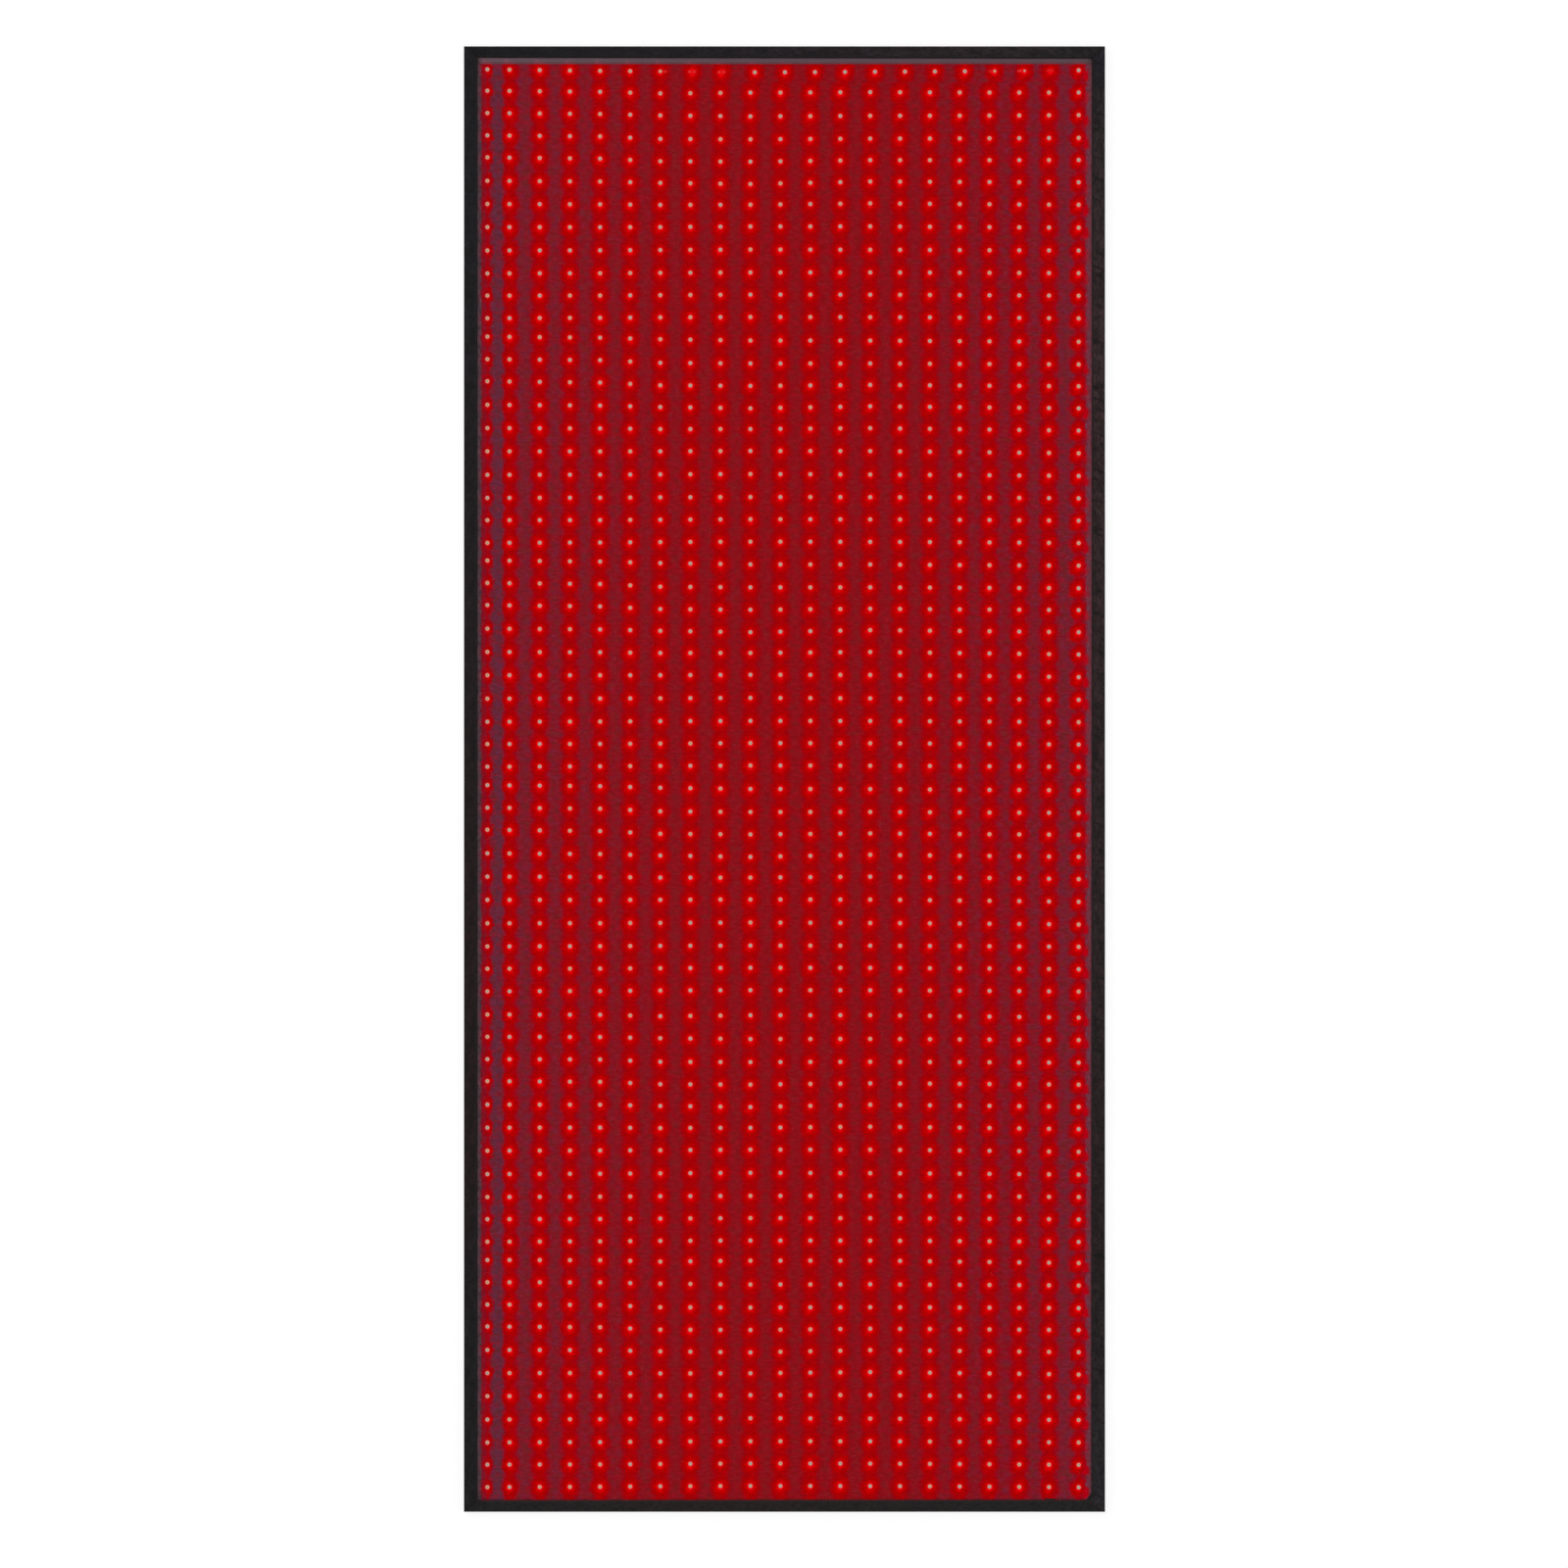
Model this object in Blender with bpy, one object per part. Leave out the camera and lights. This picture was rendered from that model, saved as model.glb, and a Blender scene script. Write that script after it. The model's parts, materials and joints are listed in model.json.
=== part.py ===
"""A red light therapy mat, lying flat with its lamps up.

Six lamp boards lie on a foam pad between a black back cover and a clear film, and a black binding
wraps the four edges. The mat folds upwards on three of the seams between its boards, so every layer
is made in four sections. +Y points to the head end, +Z up, and the origin is on the floor under the
mat's centre. Lengths are in metres.
"""

import math

import bmesh
import bpy
from mathutils import Vector

MM = 0.001

# Outline of the mat, and how far each board's edge lies from it
MAT_LENGTH = 1600 * MM
MAT_WIDTH = 700 * MM
HEAD_BORDER = 19.3 * MM
FOOT_BORDER = 14.5 * MM
LEFT_BORDER = 19.3 * MM
RIGHT_BORDER = 21.7 * MM

# Clearance between neighbouring pieces, and how far a cutter runs past what it cuts
CLEARANCE = 0.3 * MM
CUT_OVERRUN = 2.0 * MM

# Lamp boards, from the head end to the foot end
BOARD_ROWS = (12, 10, 10, 10, 11, 11)
LAMP_COLUMNS = 21
BOARD_THICKNESS = 0.5 * MM
BOARD_HEAD_MARGIN = 7.6 * MM
BOARD_FOOT_MARGIN = 13.4 * MM
BOARD_LEFT_MARGIN = 6.3 * MM
BOARD_RIGHT_MARGIN = 7.1 * MM
FIRST_COLUMN_GAP = 24.2 * MM
BOARD_GAP = 2.2 * MM
WIDE_BOARD_GAP = 6.1 * MM
LAMP_SIZE = 5.4 * MM
LAMP_HEIGHT = 1.6 * MM

# Film, cover and binding
FILM_THICKNESS = 0.6 * MM
COVER_RIM_THICKNESS = 1.0 * MM
BINDING_THICKNESS = 1.2 * MM
BINDING_INNER_RADIUS = 1.3 * MM
BINDING_SIDE_WIDTH = 15.0 * MM
BINDING_END_WIDTH = 12.5 * MM
BINDING_ARC_STEPS = 3

# Supply leads in their groove
LEAD_WIDTH = 4.0 * MM
LEAD_THICKNESS = 1.6 * MM
LEAD_SPACING = 6.5 * MM

# Power socket in the foot edge
SOCKET_FROM_RIGHT = 60.0 * MM
SOCKET_BORE_RADIUS = 2.75 * MM
SOCKET_WALL = 0.95 * MM
SOCKET_BACK_WALL = 2.4 * MM
SOCKET_NOSE_WALL = 0.65 * MM
PIN_RADIUS = 1.05 * MM
PIN_RECESS = 1.2 * MM
CONTACT_THICKNESS = 0.3 * MM
CONTACT_WIDTH = 2.2 * MM
CONTACT_BOW = 0.45 * MM
CONTACT_FROM_MOUTH = 2.0 * MM
LUG_THICKNESS = 0.5 * MM
LUG_WIDTH = 2.4 * MM
LUG_LENGTH = 4.0 * MM
ROUND_SIDES = 20
PIN_TIP_STEPS = 3

# Folds: the board after which each one lies, and the slack between two faces folded together
FOLDED_AFTER_BOARD = (1, 3, 5)
FOLD_SLACK = 1.0 * MM

# Heights of the layers, worked out from the floor up. The socket is the tallest inner piece, so it
# sets the space between cover and film, and the pad fills what the boards and lamps leave of it.
BINDING_OUTER_RADIUS = BINDING_INNER_RADIUS + BINDING_THICKNESS
COVER_RIM_BASE = BINDING_THICKNESS + CLEARANCE
COVER_TOP = COVER_RIM_BASE + COVER_RIM_THICKNESS
SOCKET_BASE = COVER_TOP + CLEARANCE
SOCKET_HEIGHT = 2 * (SOCKET_BORE_RADIUS + SOCKET_WALL)
SOCKET_AXIS_HEIGHT = SOCKET_BASE + SOCKET_HEIGHT / 2
FILM_BASE = SOCKET_BASE + SOCKET_HEIGHT + CLEARANCE
FILM_TOP = FILM_BASE + FILM_THICKNESS
BINDING_TOP = FILM_TOP + CLEARANCE + BINDING_THICKNESS
LAMP_TOP = FILM_BASE - CLEARANCE
BOARD_TOP = LAMP_TOP - LAMP_HEIGHT
BOARD_BASE = BOARD_TOP - BOARD_THICKNESS
PAD_BASE = COVER_TOP + CLEARANCE
PAD_TOP = BOARD_BASE - CLEARANCE
LEAD_TOP = PAD_TOP - CLEARANCE
LEAD_BASE = LEAD_TOP - LEAD_THICKNESS
GROOVE_BASE = LEAD_BASE - CLEARANCE

# Edges of the layers inside the binding, across and along the mat
HALF_WIDTH = MAT_WIDTH / 2
HALF_LENGTH = MAT_LENGTH / 2
LAYER_INSET = BINDING_OUTER_RADIUS + CLEARANCE
LAYER_HALF_WIDTH = HALF_WIDTH - LAYER_INSET
LAYER_HALF_LENGTH = HALF_LENGTH - LAYER_INSET

# Socket and leads along and across the mat
SOCKET_X = HALF_WIDTH - SOCKET_FROM_RIGHT
SOCKET_WIDTH = 2 * (SOCKET_BORE_RADIUS + CONTACT_THICKNESS + 2 * CLEARANCE + SOCKET_WALL)
SOCKET_FRONT = -HALF_LENGTH + BINDING_THICKNESS + CLEARANCE
SOCKET_REAR = -HALF_LENGTH + FOOT_BORDER - CLEARANCE
SOCKET_BORE_END = SOCKET_REAR - SOCKET_BACK_WALL
NOSE_RADIUS = SOCKET_BORE_RADIUS + SOCKET_NOSE_WALL
LUG_END = SOCKET_REAR + CLEARANCE + LUG_LENGTH
GROOVE_HALF_WIDTH = (LEAD_SPACING + LEAD_WIDTH) / 2 + CLEARANCE


def board_spans():
    """The foot edge and head edge of each board along Y, from the head end."""
    narrow, wide = BOARD_GAP, WIDE_BOARD_GAP
    gaps = (narrow, narrow, narrow, wide, narrow)
    margins = len(BOARD_ROWS) * (BOARD_HEAD_MARGIN + BOARD_FOOT_MARGIN)
    rows_length = MAT_LENGTH - HEAD_BORDER - FOOT_BORDER - margins - sum(gaps)
    pitch = rows_length / (sum(BOARD_ROWS) - len(BOARD_ROWS))
    spans = []
    head = HALF_LENGTH - HEAD_BORDER
    for rows, gap in zip(BOARD_ROWS, (*gaps, 0)):
        foot = head - BOARD_HEAD_MARGIN - (rows - 1) * pitch - BOARD_FOOT_MARGIN
        spans.append((foot, head))
        head = foot - gap
    return spans


def row_places(foot, head, rows):
    """The middle of each row of lamps on a board, from its foot edge."""
    first = foot + BOARD_FOOT_MARGIN
    pitch = (head - BOARD_HEAD_MARGIN - first) / (rows - 1)
    return [first + row * pitch for row in range(rows)]


def column_places():
    """The middle of each column of lamps. The gap beside the first column is narrower."""
    first = -HALF_WIDTH + LEFT_BORDER + BOARD_LEFT_MARGIN
    second = first + FIRST_COLUMN_GAP
    last = HALF_WIDTH - RIGHT_BORDER - BOARD_RIGHT_MARGIN
    pitch = (last - second) / (LAMP_COLUMNS - 2)
    return [first] + [second + column * pitch for column in range(LAMP_COLUMNS - 1)]


def fold_places():
    """The Y of each fold line, from the head end: the middle of a gap between two boards."""
    spans = board_spans()
    return [(spans[board - 1][0] + spans[board][1]) / 2 for board in FOLDED_AFTER_BOARD]


class Section:
    """A stretch of the mat between two folds, carried by an empty on the fold it turns about."""

    def __init__(self, name, foot, head, pivot, parent=None):
        self.name = name
        self.foot = foot
        self.head = head
        self.pivot = pivot
        self.empty = bpy.data.objects.new(f"{name}_section", None)
        bpy.context.scene.collection.objects.link(self.empty)
        self.empty.location = pivot
        if parent:
            self.empty.parent = parent.empty
            self.empty.location = pivot - parent.pivot

    def ends(self, outer):
        """The foot and head edge of a layer that stops at outer at the mat's own ends."""
        foot = self.foot + CLEARANCE / 2
        head = self.head - CLEARANCE / 2
        return max(foot, -outer), min(head, outer)


def make_sections():
    """Four sections. The end ones fold onto their neighbours, and the middle fold clears both."""
    head_fold, middle_fold, foot_fold = fold_places()
    end_height = BINDING_TOP + FOLD_SLACK / 2
    middle_height = 2 * end_height + FOLD_SLACK / 2
    lower = Section("lower", foot_fold, middle_fold, Vector((0, 0, 0)))
    upper = Section("upper", middle_fold, head_fold, Vector((0, middle_fold, middle_height)), lower)
    head = Section("head", head_fold, HALF_LENGTH, Vector((0, head_fold, end_height)), upper)
    foot = Section("foot", -HALF_LENGTH, foot_fold, Vector((0, foot_fold, end_height)), lower)
    return head, upper, lower, foot


def material(name, colour, roughness, metallic=0.0, alpha=1.0):
    """A Principled material with one colour, made once and shared."""
    made = bpy.data.materials.get(name) or bpy.data.materials.new(name)
    made.use_nodes = True
    shader = made.node_tree.nodes["Principled BSDF"]
    shader.inputs["Base Color"].default_value = (*colour, 1.0)
    shader.inputs["Roughness"].default_value = roughness
    shader.inputs["Metallic"].default_value = metallic
    shader.inputs["Alpha"].default_value = alpha
    made.diffuse_color = (*colour, alpha)
    return made


def leatherette():
    return material("black_leatherette", (0.014, 0.012, 0.013), 0.48)


def cover_fabric():
    return material("black_cover_fabric", (0.018, 0.018, 0.02), 0.85)


def foam():
    return material("grey_foam", (0.30, 0.27, 0.29), 0.9)


def board_lacquer():
    return material("red_lamp_board", (0.36, 0.004, 0.01), 0.45)


def clear_film():
    return material("clear_film", (0.9, 0.88, 0.88), 0.18, alpha=0.15)


def lead_insulation(red):
    colour = (0.45, 0.01, 0.01) if red else (0.015, 0.015, 0.015)
    return material("red_insulation" if red else "black_insulation", colour, 0.5)


def socket_plastic():
    return material("black_socket_plastic", (0.012, 0.012, 0.012), 0.35)


def contact_metal():
    return material("nickel_contact", (0.72, 0.69, 0.62), 0.25, metallic=1.0)


def add_object(name, mesh_builder, section, finish, smooth=False):
    """Closes a bmesh built in the mat's own frame, and hangs it on its section."""
    bmesh.ops.recalc_face_normals(mesh_builder, faces=mesh_builder.faces)
    bmesh.ops.translate(mesh_builder, verts=mesh_builder.verts, vec=-section.pivot)
    mesh = bpy.data.meshes.new(name)
    mesh_builder.to_mesh(mesh)
    mesh_builder.free()
    if smooth:
        mesh.shade_smooth()
        mesh.set_sharp_from_angle(angle=math.radians(40))
    mesh.materials.append(finish)
    made = bpy.data.objects.new(name, mesh)
    bpy.context.scene.collection.objects.link(made)
    made.parent = section.empty
    return made


def loft(rings):
    """A closed solid through rings of the same number of points, capped at both ends."""
    building = bmesh.new()
    made = [[building.verts.new(point) for point in ring] for ring in rings]
    for lower, upper in zip(made, made[1:]):
        for index in range(len(lower)):
            after = (index + 1) % len(lower)
            building.faces.new((lower[index], lower[after], upper[after], upper[index]))
    building.faces.new(made[0])
    building.faces.new(made[-1])
    return building


def box(x_span, y_span, z_span):
    """A block between two places on each axis."""
    corners = ((0, 0), (1, 0), (1, 1), (0, 1))
    return loft([[Vector((x_span[i], y_span[j], z)) for i, j in corners] for z in z_span])


def along_mat(profile, y_span):
    """A profile of (x, z) points drawn out along Y."""
    return loft([[Vector((x, y, z)) for x, z in profile] for y in y_span])


def boolean(target, builder, section, operation="DIFFERENCE"):
    """Cuts a hidden helper solid from the target, or joins it on."""
    helper = add_object(f"{target.name}_helper", builder, section, target.active_material)
    helper.hide_render = True
    helper.display_type = "WIRE"
    change = target.modifiers.new(operation.title(), "BOOLEAN")
    change.operation = operation
    change.object = helper


def rod(x, z, y_span, radius, sides=ROUND_SIDES):
    """A round bar along Y."""
    turns = [2 * math.pi * side / sides for side in range(sides)]
    ring = [(x + radius * math.cos(turn), z + radius * math.sin(turn)) for turn in turns]
    return along_mat(ring, y_span)


def make_back_cover(section):
    """The back cover: flat on the floor, and pressed thin where the binding passes under it."""
    field = HALF_WIDTH - BINDING_SIDE_WIDTH - CLEARANCE
    half = [(field, 0), (field, COVER_RIM_BASE)]
    half += [(LAYER_HALF_WIDTH, COVER_RIM_BASE), (LAYER_HALF_WIDTH, COVER_TOP)]
    profile = half + [(-x, z) for x, z in reversed(half)]
    builder = along_mat(profile, section.ends(LAYER_HALF_LENGTH))
    cover = add_object(f"back_cover_{section.name}", builder, section, cover_fabric())
    for end, outer in ((section.foot, -HALF_LENGTH), (section.head, HALF_LENGTH)):
        if end == outer:
            inner = math.copysign(HALF_LENGTH - BINDING_END_WIDTH - CLEARANCE, outer)
            beyond = outer + math.copysign(CUT_OVERRUN, outer)
            reach = HALF_WIDTH + CUT_OVERRUN
            relief = box((-reach, reach), sorted((inner, beyond)), (-CUT_OVERRUN, COVER_RIM_BASE))
            boolean(cover, relief, section)
    return cover


def make_pad(section):
    """The foam pad, with one groove along its top for the two leads."""
    low, high = SOCKET_X - GROOVE_HALF_WIDTH, SOCKET_X + GROOVE_HALF_WIDTH
    edge = LAYER_HALF_WIDTH
    profile = [(-edge, PAD_BASE), (edge, PAD_BASE), (edge, PAD_TOP), (high, PAD_TOP)]
    profile += [(high, GROOVE_BASE), (low, GROOVE_BASE), (low, PAD_TOP), (-edge, PAD_TOP)]
    builder = along_mat(profile, section.ends(LAYER_HALF_LENGTH))
    return add_object(f"foam_pad_{section.name}", builder, section, foam())


def cut_socket_pocket(pad, section):
    """Room for the socket and its lugs at the pad's foot edge."""
    half = max(SOCKET_WIDTH / 2 + CLEARANCE, GROOVE_HALF_WIDTH)
    span_x = (SOCKET_X - half, SOCKET_X + half)
    span_y = (-HALF_LENGTH, SOCKET_REAR + CLEARANCE)
    boolean(pad, box(span_x, span_y, (PAD_BASE - CUT_OVERRUN, PAD_TOP + CUT_OVERRUN)), section)


def make_film(section):
    """The clear film over the lamps."""
    across = (-LAYER_HALF_WIDTH, LAYER_HALF_WIDTH)
    builder = box(across, section.ends(LAYER_HALF_LENGTH), (FILM_BASE, FILM_TOP))
    return add_object(f"clear_film_{section.name}", builder, section, clear_film())


def lamp_grid(building, columns, rows):
    """The board's top between its outermost lamps, with a four-sided dome on each lamp's place."""
    half = LAMP_SIZE / 2
    lines_x = [x + side * half for x in columns for side in (-1, 1)]
    lines_y = [y + side * half for y in rows for side in (-1, 1)]
    grid = [[building.verts.new((x, y, BOARD_TOP)) for x in lines_x] for y in lines_y]
    for j in range(len(lines_y) - 1):
        for i in range(len(lines_x) - 1):
            cell = (grid[j][i], grid[j][i + 1], grid[j + 1][i + 1], grid[j + 1][i])
            if i % 2 or j % 2:
                building.faces.new(cell)
                continue
            dome = building.verts.new((columns[i // 2], rows[j // 2], LAMP_TOP))
            for side in range(4):
                building.faces.new((cell[side], cell[(side + 1) % 4], dome))
    return grid


def make_lamp_board(number, section, span):
    """One flexible circuit board with its rows of lamps."""
    building = bmesh.new()
    foot, head = span
    left = -HALF_WIDTH + LEFT_BORDER
    right = HALF_WIDTH - RIGHT_BORDER
    rows = row_places(foot, head, BOARD_ROWS[number - 1])
    grid = lamp_grid(building, column_places(), rows)
    outline = ((left, foot), (right, foot), (right, head), (left, head))
    top = [building.verts.new((x, y, BOARD_TOP)) for x, y in outline]
    base = [building.verts.new((x, y, BOARD_BASE)) for x, y in outline]
    left_line = [line[0] for line in grid]
    right_line = [line[-1] for line in grid]
    inner_sides = (grid[0], right_line, grid[-1][::-1], left_line[::-1])
    for corner, inner in enumerate(inner_sides):
        after = (corner + 1) % 4
        building.faces.new([top[corner], top[after], *reversed(inner)])
        building.faces.new((base[corner], base[after], top[after], top[corner]))
    building.faces.new(base)
    return add_object(f"lamp_board_{number}", building, section, board_lacquer())


def binding_profile(width):
    """The folded strip as (distance in from the mat's edge, height) points, right round its section."""
    outer, inner = BINDING_OUTER_RADIUS, BINDING_INNER_RADIUS

    def corner(centre_height, radius, first_quarter):
        points = []
        for step in range(BINDING_ARC_STEPS + 1):
            turn = math.pi / 2 * (first_quarter + step / BINDING_ARC_STEPS)
            points.append((outer + radius * math.cos(turn), centre_height + radius * math.sin(turn)))
        return points

    top_centre = BINDING_TOP - outer
    outside = [(width, BINDING_TOP)] + corner(top_centre, outer, 1)
    outside += corner(outer, outer, 2) + [(width, 0)]
    inside = [(width, BINDING_TOP - BINDING_THICKNESS)] + corner(top_centre, inner, 1)
    inside += corner(outer, inner, 2) + [(width, BINDING_THICKNESS)]
    return outside + inside[::-1]


def make_side_binding(section, side, side_name):
    """The strip along one long side, cut square at the folds and mitred at the mat's corners."""
    mitre = BINDING_END_WIDTH / BINDING_SIDE_WIDTH
    profile = binding_profile(BINDING_SIDE_WIDTH)
    rings = []
    for end, outward in ((section.foot, -1), (section.head, 1)):
        at_corner = end == outward * HALF_LENGTH
        ring = []
        for inset, height in profile:
            back = inset * mitre + CLEARANCE if at_corner else CLEARANCE / 2
            ring.append(Vector((side * (HALF_WIDTH - inset), end - outward * back, height)))
        rings.append(ring)
    name = f"binding_{side_name}_{section.name}"
    return add_object(name, loft(rings), section, leatherette(), smooth=True)


def make_end_binding(section, outward, end_name):
    """The strip across one end, mitred to meet both side strips."""
    mitre = BINDING_SIDE_WIDTH / BINDING_END_WIDTH
    rings = []
    for side in (-1, 1):
        ring = []
        for inset, height in binding_profile(BINDING_END_WIDTH):
            x = side * (HALF_WIDTH - inset * mitre - CLEARANCE)
            ring.append(Vector((x, outward * (HALF_LENGTH - inset), height)))
        rings.append(ring)
    return add_object(f"binding_{end_name}_end", loft(rings), section, leatherette(), smooth=True)


def cut_socket_hole(binding, section):
    """The round hole in the foot binding that the socket's nose fills."""
    span = (-HALF_LENGTH - CUT_OVERRUN, SOCKET_FRONT)
    boolean(binding, rod(SOCKET_X, SOCKET_AXIS_HEIGHT, span, NOSE_RADIUS + CLEARANCE), section)


def make_lead(section, side, pole, head_end):
    """One flat supply lead through a section, from the lug or the fold to the fold or its end."""
    foot, head = section.ends(HALF_LENGTH)
    foot = max(foot, LUG_END + CLEARANCE)
    head = min(head, head_end)
    middle = SOCKET_X + side * LEAD_SPACING / 2
    across = (middle - LEAD_WIDTH / 2, middle + LEAD_WIDTH / 2)
    builder = box(across, (foot, head), (LEAD_BASE, LEAD_TOP))
    return add_object(f"lead_{pole}_{section.name}", builder, section, lead_insulation(side > 0))


def make_socket_housing(section):
    """The socket: a block behind the binding, its round nose, its bore, and the contact's recess."""
    half = SOCKET_WIDTH / 2
    block = box(
        (SOCKET_X - half, SOCKET_X + half),
        (SOCKET_FRONT, SOCKET_REAR),
        (SOCKET_BASE, SOCKET_BASE + SOCKET_HEIGHT),
    )
    housing = add_object("socket_housing", block, section, socket_plastic(), smooth=True)
    nose = (-HALF_LENGTH, SOCKET_FRONT + SOCKET_WALL)
    boolean(housing, rod(SOCKET_X, SOCKET_AXIS_HEIGHT, nose, NOSE_RADIUS), section, "UNION")
    bore = (-HALF_LENGTH - CUT_OVERRUN, SOCKET_BORE_END)
    boolean(housing, rod(SOCKET_X, SOCKET_AXIS_HEIGHT, bore, SOCKET_BORE_RADIUS), section)
    depth = SOCKET_BORE_RADIUS + CONTACT_THICKNESS + 2 * CLEARANCE
    reach = CONTACT_WIDTH / 2 + CLEARANCE
    recess = box(
        (SOCKET_X, SOCKET_X + depth),
        (-HALF_LENGTH + CONTACT_FROM_MOUTH - CLEARANCE, SOCKET_BORE_END),
        (SOCKET_AXIS_HEIGHT - reach, SOCKET_AXIS_HEIGHT + reach),
    )
    boolean(housing, recess, section)
    return housing


def make_socket_pin(section):
    """The centre pin, standing on the bore's end, with its tip turned to a half ball."""
    tip = -HALF_LENGTH + PIN_RECESS
    places = []
    for step in range(1, PIN_TIP_STEPS + 1):
        turn = math.pi / 2 * step / PIN_TIP_STEPS
        places.append((tip + PIN_RADIUS * (1 - math.cos(turn)), PIN_RADIUS * math.sin(turn)))
    places.append((SOCKET_BORE_END - CLEARANCE, PIN_RADIUS))
    turns = [2 * math.pi * side / ROUND_SIDES for side in range(ROUND_SIDES)]
    rings = []
    for y, radius in places:
        ring = []
        for turn in turns:
            x = SOCKET_X + radius * math.cos(turn)
            ring.append(Vector((x, y, SOCKET_AXIS_HEIGHT + radius * math.sin(turn))))
        rings.append(ring)
    return add_object("socket_pin", loft(rings), section, contact_metal(), smooth=True)


def make_spring_contact(section):
    """The leaf that presses on the plug's sleeve: a strip bowed towards the pin."""
    back = SOCKET_X + SOCKET_BORE_RADIUS + CLEARANCE + CONTACT_THICKNESS
    start = -HALF_LENGTH + CONTACT_FROM_MOUTH
    end = SOCKET_BORE_END - CLEARANCE
    middle = (start + end) / 2
    outside = [(back, start), (back - CONTACT_BOW, middle), (back, end)]
    outline = outside + [(x - CONTACT_THICKNESS, y) for x, y in reversed(outside)]
    heights = (SOCKET_AXIS_HEIGHT - CONTACT_WIDTH / 2, SOCKET_AXIS_HEIGHT + CONTACT_WIDTH / 2)
    leaf = loft([[Vector((x, y, z)) for x, y in outline] for z in heights])
    return add_object("socket_spring_contact", leaf, section, contact_metal())


def make_lug(section, side, pole):
    """A solder lug between the socket's rear and one lead."""
    middle = SOCKET_X + side * LEAD_SPACING / 2
    height = (LEAD_BASE + LEAD_TOP) / 2
    builder = box(
        (middle - LUG_WIDTH / 2, middle + LUG_WIDTH / 2),
        (SOCKET_REAR + CLEARANCE, LUG_END),
        (height - LUG_THICKNESS / 2, height + LUG_THICKNESS / 2),
    )
    return add_object(f"socket_lug_{pole}", builder, section, contact_metal())


def make_mat():
    """Every piece of the mat, section by section from the head end."""
    for old in list(bpy.data.objects):
        bpy.data.objects.remove(old)
    sections = make_sections()
    spans = board_spans()
    lead_end = spans[0][1] - BOARD_HEAD_MARGIN
    for section in sections:
        make_back_cover(section)
        pad = make_pad(section)
        make_film(section)
        for number, span in enumerate(spans, 1):
            if section.foot < span[0] < section.head:
                make_lamp_board(number, section, span)
        for side, side_name in ((-1, "left"), (1, "right")):
            make_side_binding(section, side, side_name)
        for side, pole in ((-1, "negative"), (1, "positive")):
            make_lead(section, side, pole, lead_end)
    make_end_binding(sections[0], 1, "head")
    foot = sections[-1]
    cut_socket_hole(make_end_binding(foot, -1, "foot"), foot)
    cut_socket_pocket(pad, foot)
    make_socket_housing(foot)
    make_socket_pin(foot)
    make_spring_contact(foot)
    for side, pole in ((-1, "negative"), (1, "positive")):
        make_lug(foot, side, pole)


make_mat()
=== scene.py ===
"""The looks of a red light therapy mat that lies flat on a white floor with its lamps lit.

The mat folds on three seams between its lamp boards. Each flexible layer is made in three
stretches, head, middle and foot, which meet at two other seams, so that each holds one fold.
+Y points to the head end, +Z up, and lengths are in metres. Surfaces have two UV maps: "place"
holds a point's own place, and "lamp" its offset from the middle of the nearest lamp.
"""

import json
import math
import random
from functools import partialmethod

import bmesh
import bpy
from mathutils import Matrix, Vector, noise

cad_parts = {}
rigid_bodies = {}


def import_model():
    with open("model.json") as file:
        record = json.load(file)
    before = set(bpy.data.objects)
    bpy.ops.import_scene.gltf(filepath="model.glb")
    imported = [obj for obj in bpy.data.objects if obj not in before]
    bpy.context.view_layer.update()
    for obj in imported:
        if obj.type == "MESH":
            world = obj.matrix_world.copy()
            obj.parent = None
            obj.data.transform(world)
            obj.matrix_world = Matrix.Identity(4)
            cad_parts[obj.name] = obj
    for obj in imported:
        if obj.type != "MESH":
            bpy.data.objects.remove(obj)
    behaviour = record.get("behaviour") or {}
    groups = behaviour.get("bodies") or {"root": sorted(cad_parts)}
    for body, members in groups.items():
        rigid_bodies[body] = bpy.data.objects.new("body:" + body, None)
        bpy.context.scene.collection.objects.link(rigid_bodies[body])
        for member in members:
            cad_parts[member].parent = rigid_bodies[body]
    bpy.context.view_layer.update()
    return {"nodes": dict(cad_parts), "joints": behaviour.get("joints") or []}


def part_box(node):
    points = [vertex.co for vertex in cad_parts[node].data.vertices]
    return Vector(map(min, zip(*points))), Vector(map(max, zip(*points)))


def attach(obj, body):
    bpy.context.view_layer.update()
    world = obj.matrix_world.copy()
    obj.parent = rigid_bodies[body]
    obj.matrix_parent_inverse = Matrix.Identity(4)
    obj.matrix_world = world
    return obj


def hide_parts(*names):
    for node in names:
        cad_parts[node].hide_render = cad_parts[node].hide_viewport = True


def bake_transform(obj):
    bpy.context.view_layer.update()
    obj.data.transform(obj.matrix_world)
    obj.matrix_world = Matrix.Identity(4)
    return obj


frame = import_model()

MM = 0.001

# The photograph's view: its width across the mat, its middle, and the size of one of its pixels
VIEW_WIDTH = 1711.8 * MM
VIEW_MIDDLE_Y = -5.9 * MM
VIEW_PLANE_Z = 10.0 * MM
PIXEL = VIEW_WIDTH / 1600
LENS = 135.0
SENSOR = 36.0

# Outline, and heights of the layers
HALF_WIDTH = 350.0 * MM
HALF_LENGTH = 800.0 * MM
LAYER_INSET = 2.8 * MM
COVER_RIM_BASE = 1.5 * MM
COVER_TOP = 2.5 * MM
COVER_SWELL = 0.45 * MM
PAD_BASE = 2.8 * MM
PAD_TOP = 7.8 * MM
GROOVE_BASE = 5.6 * MM
BOARD_BASE = 8.1 * MM
BOARD_TOP = 8.6 * MM
LAMP_TOP = 10.2 * MM
FILM_BASE = 10.5 * MM
FILM_TOP = 11.1 * MM
CLEARANCE = 0.3 * MM

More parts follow.
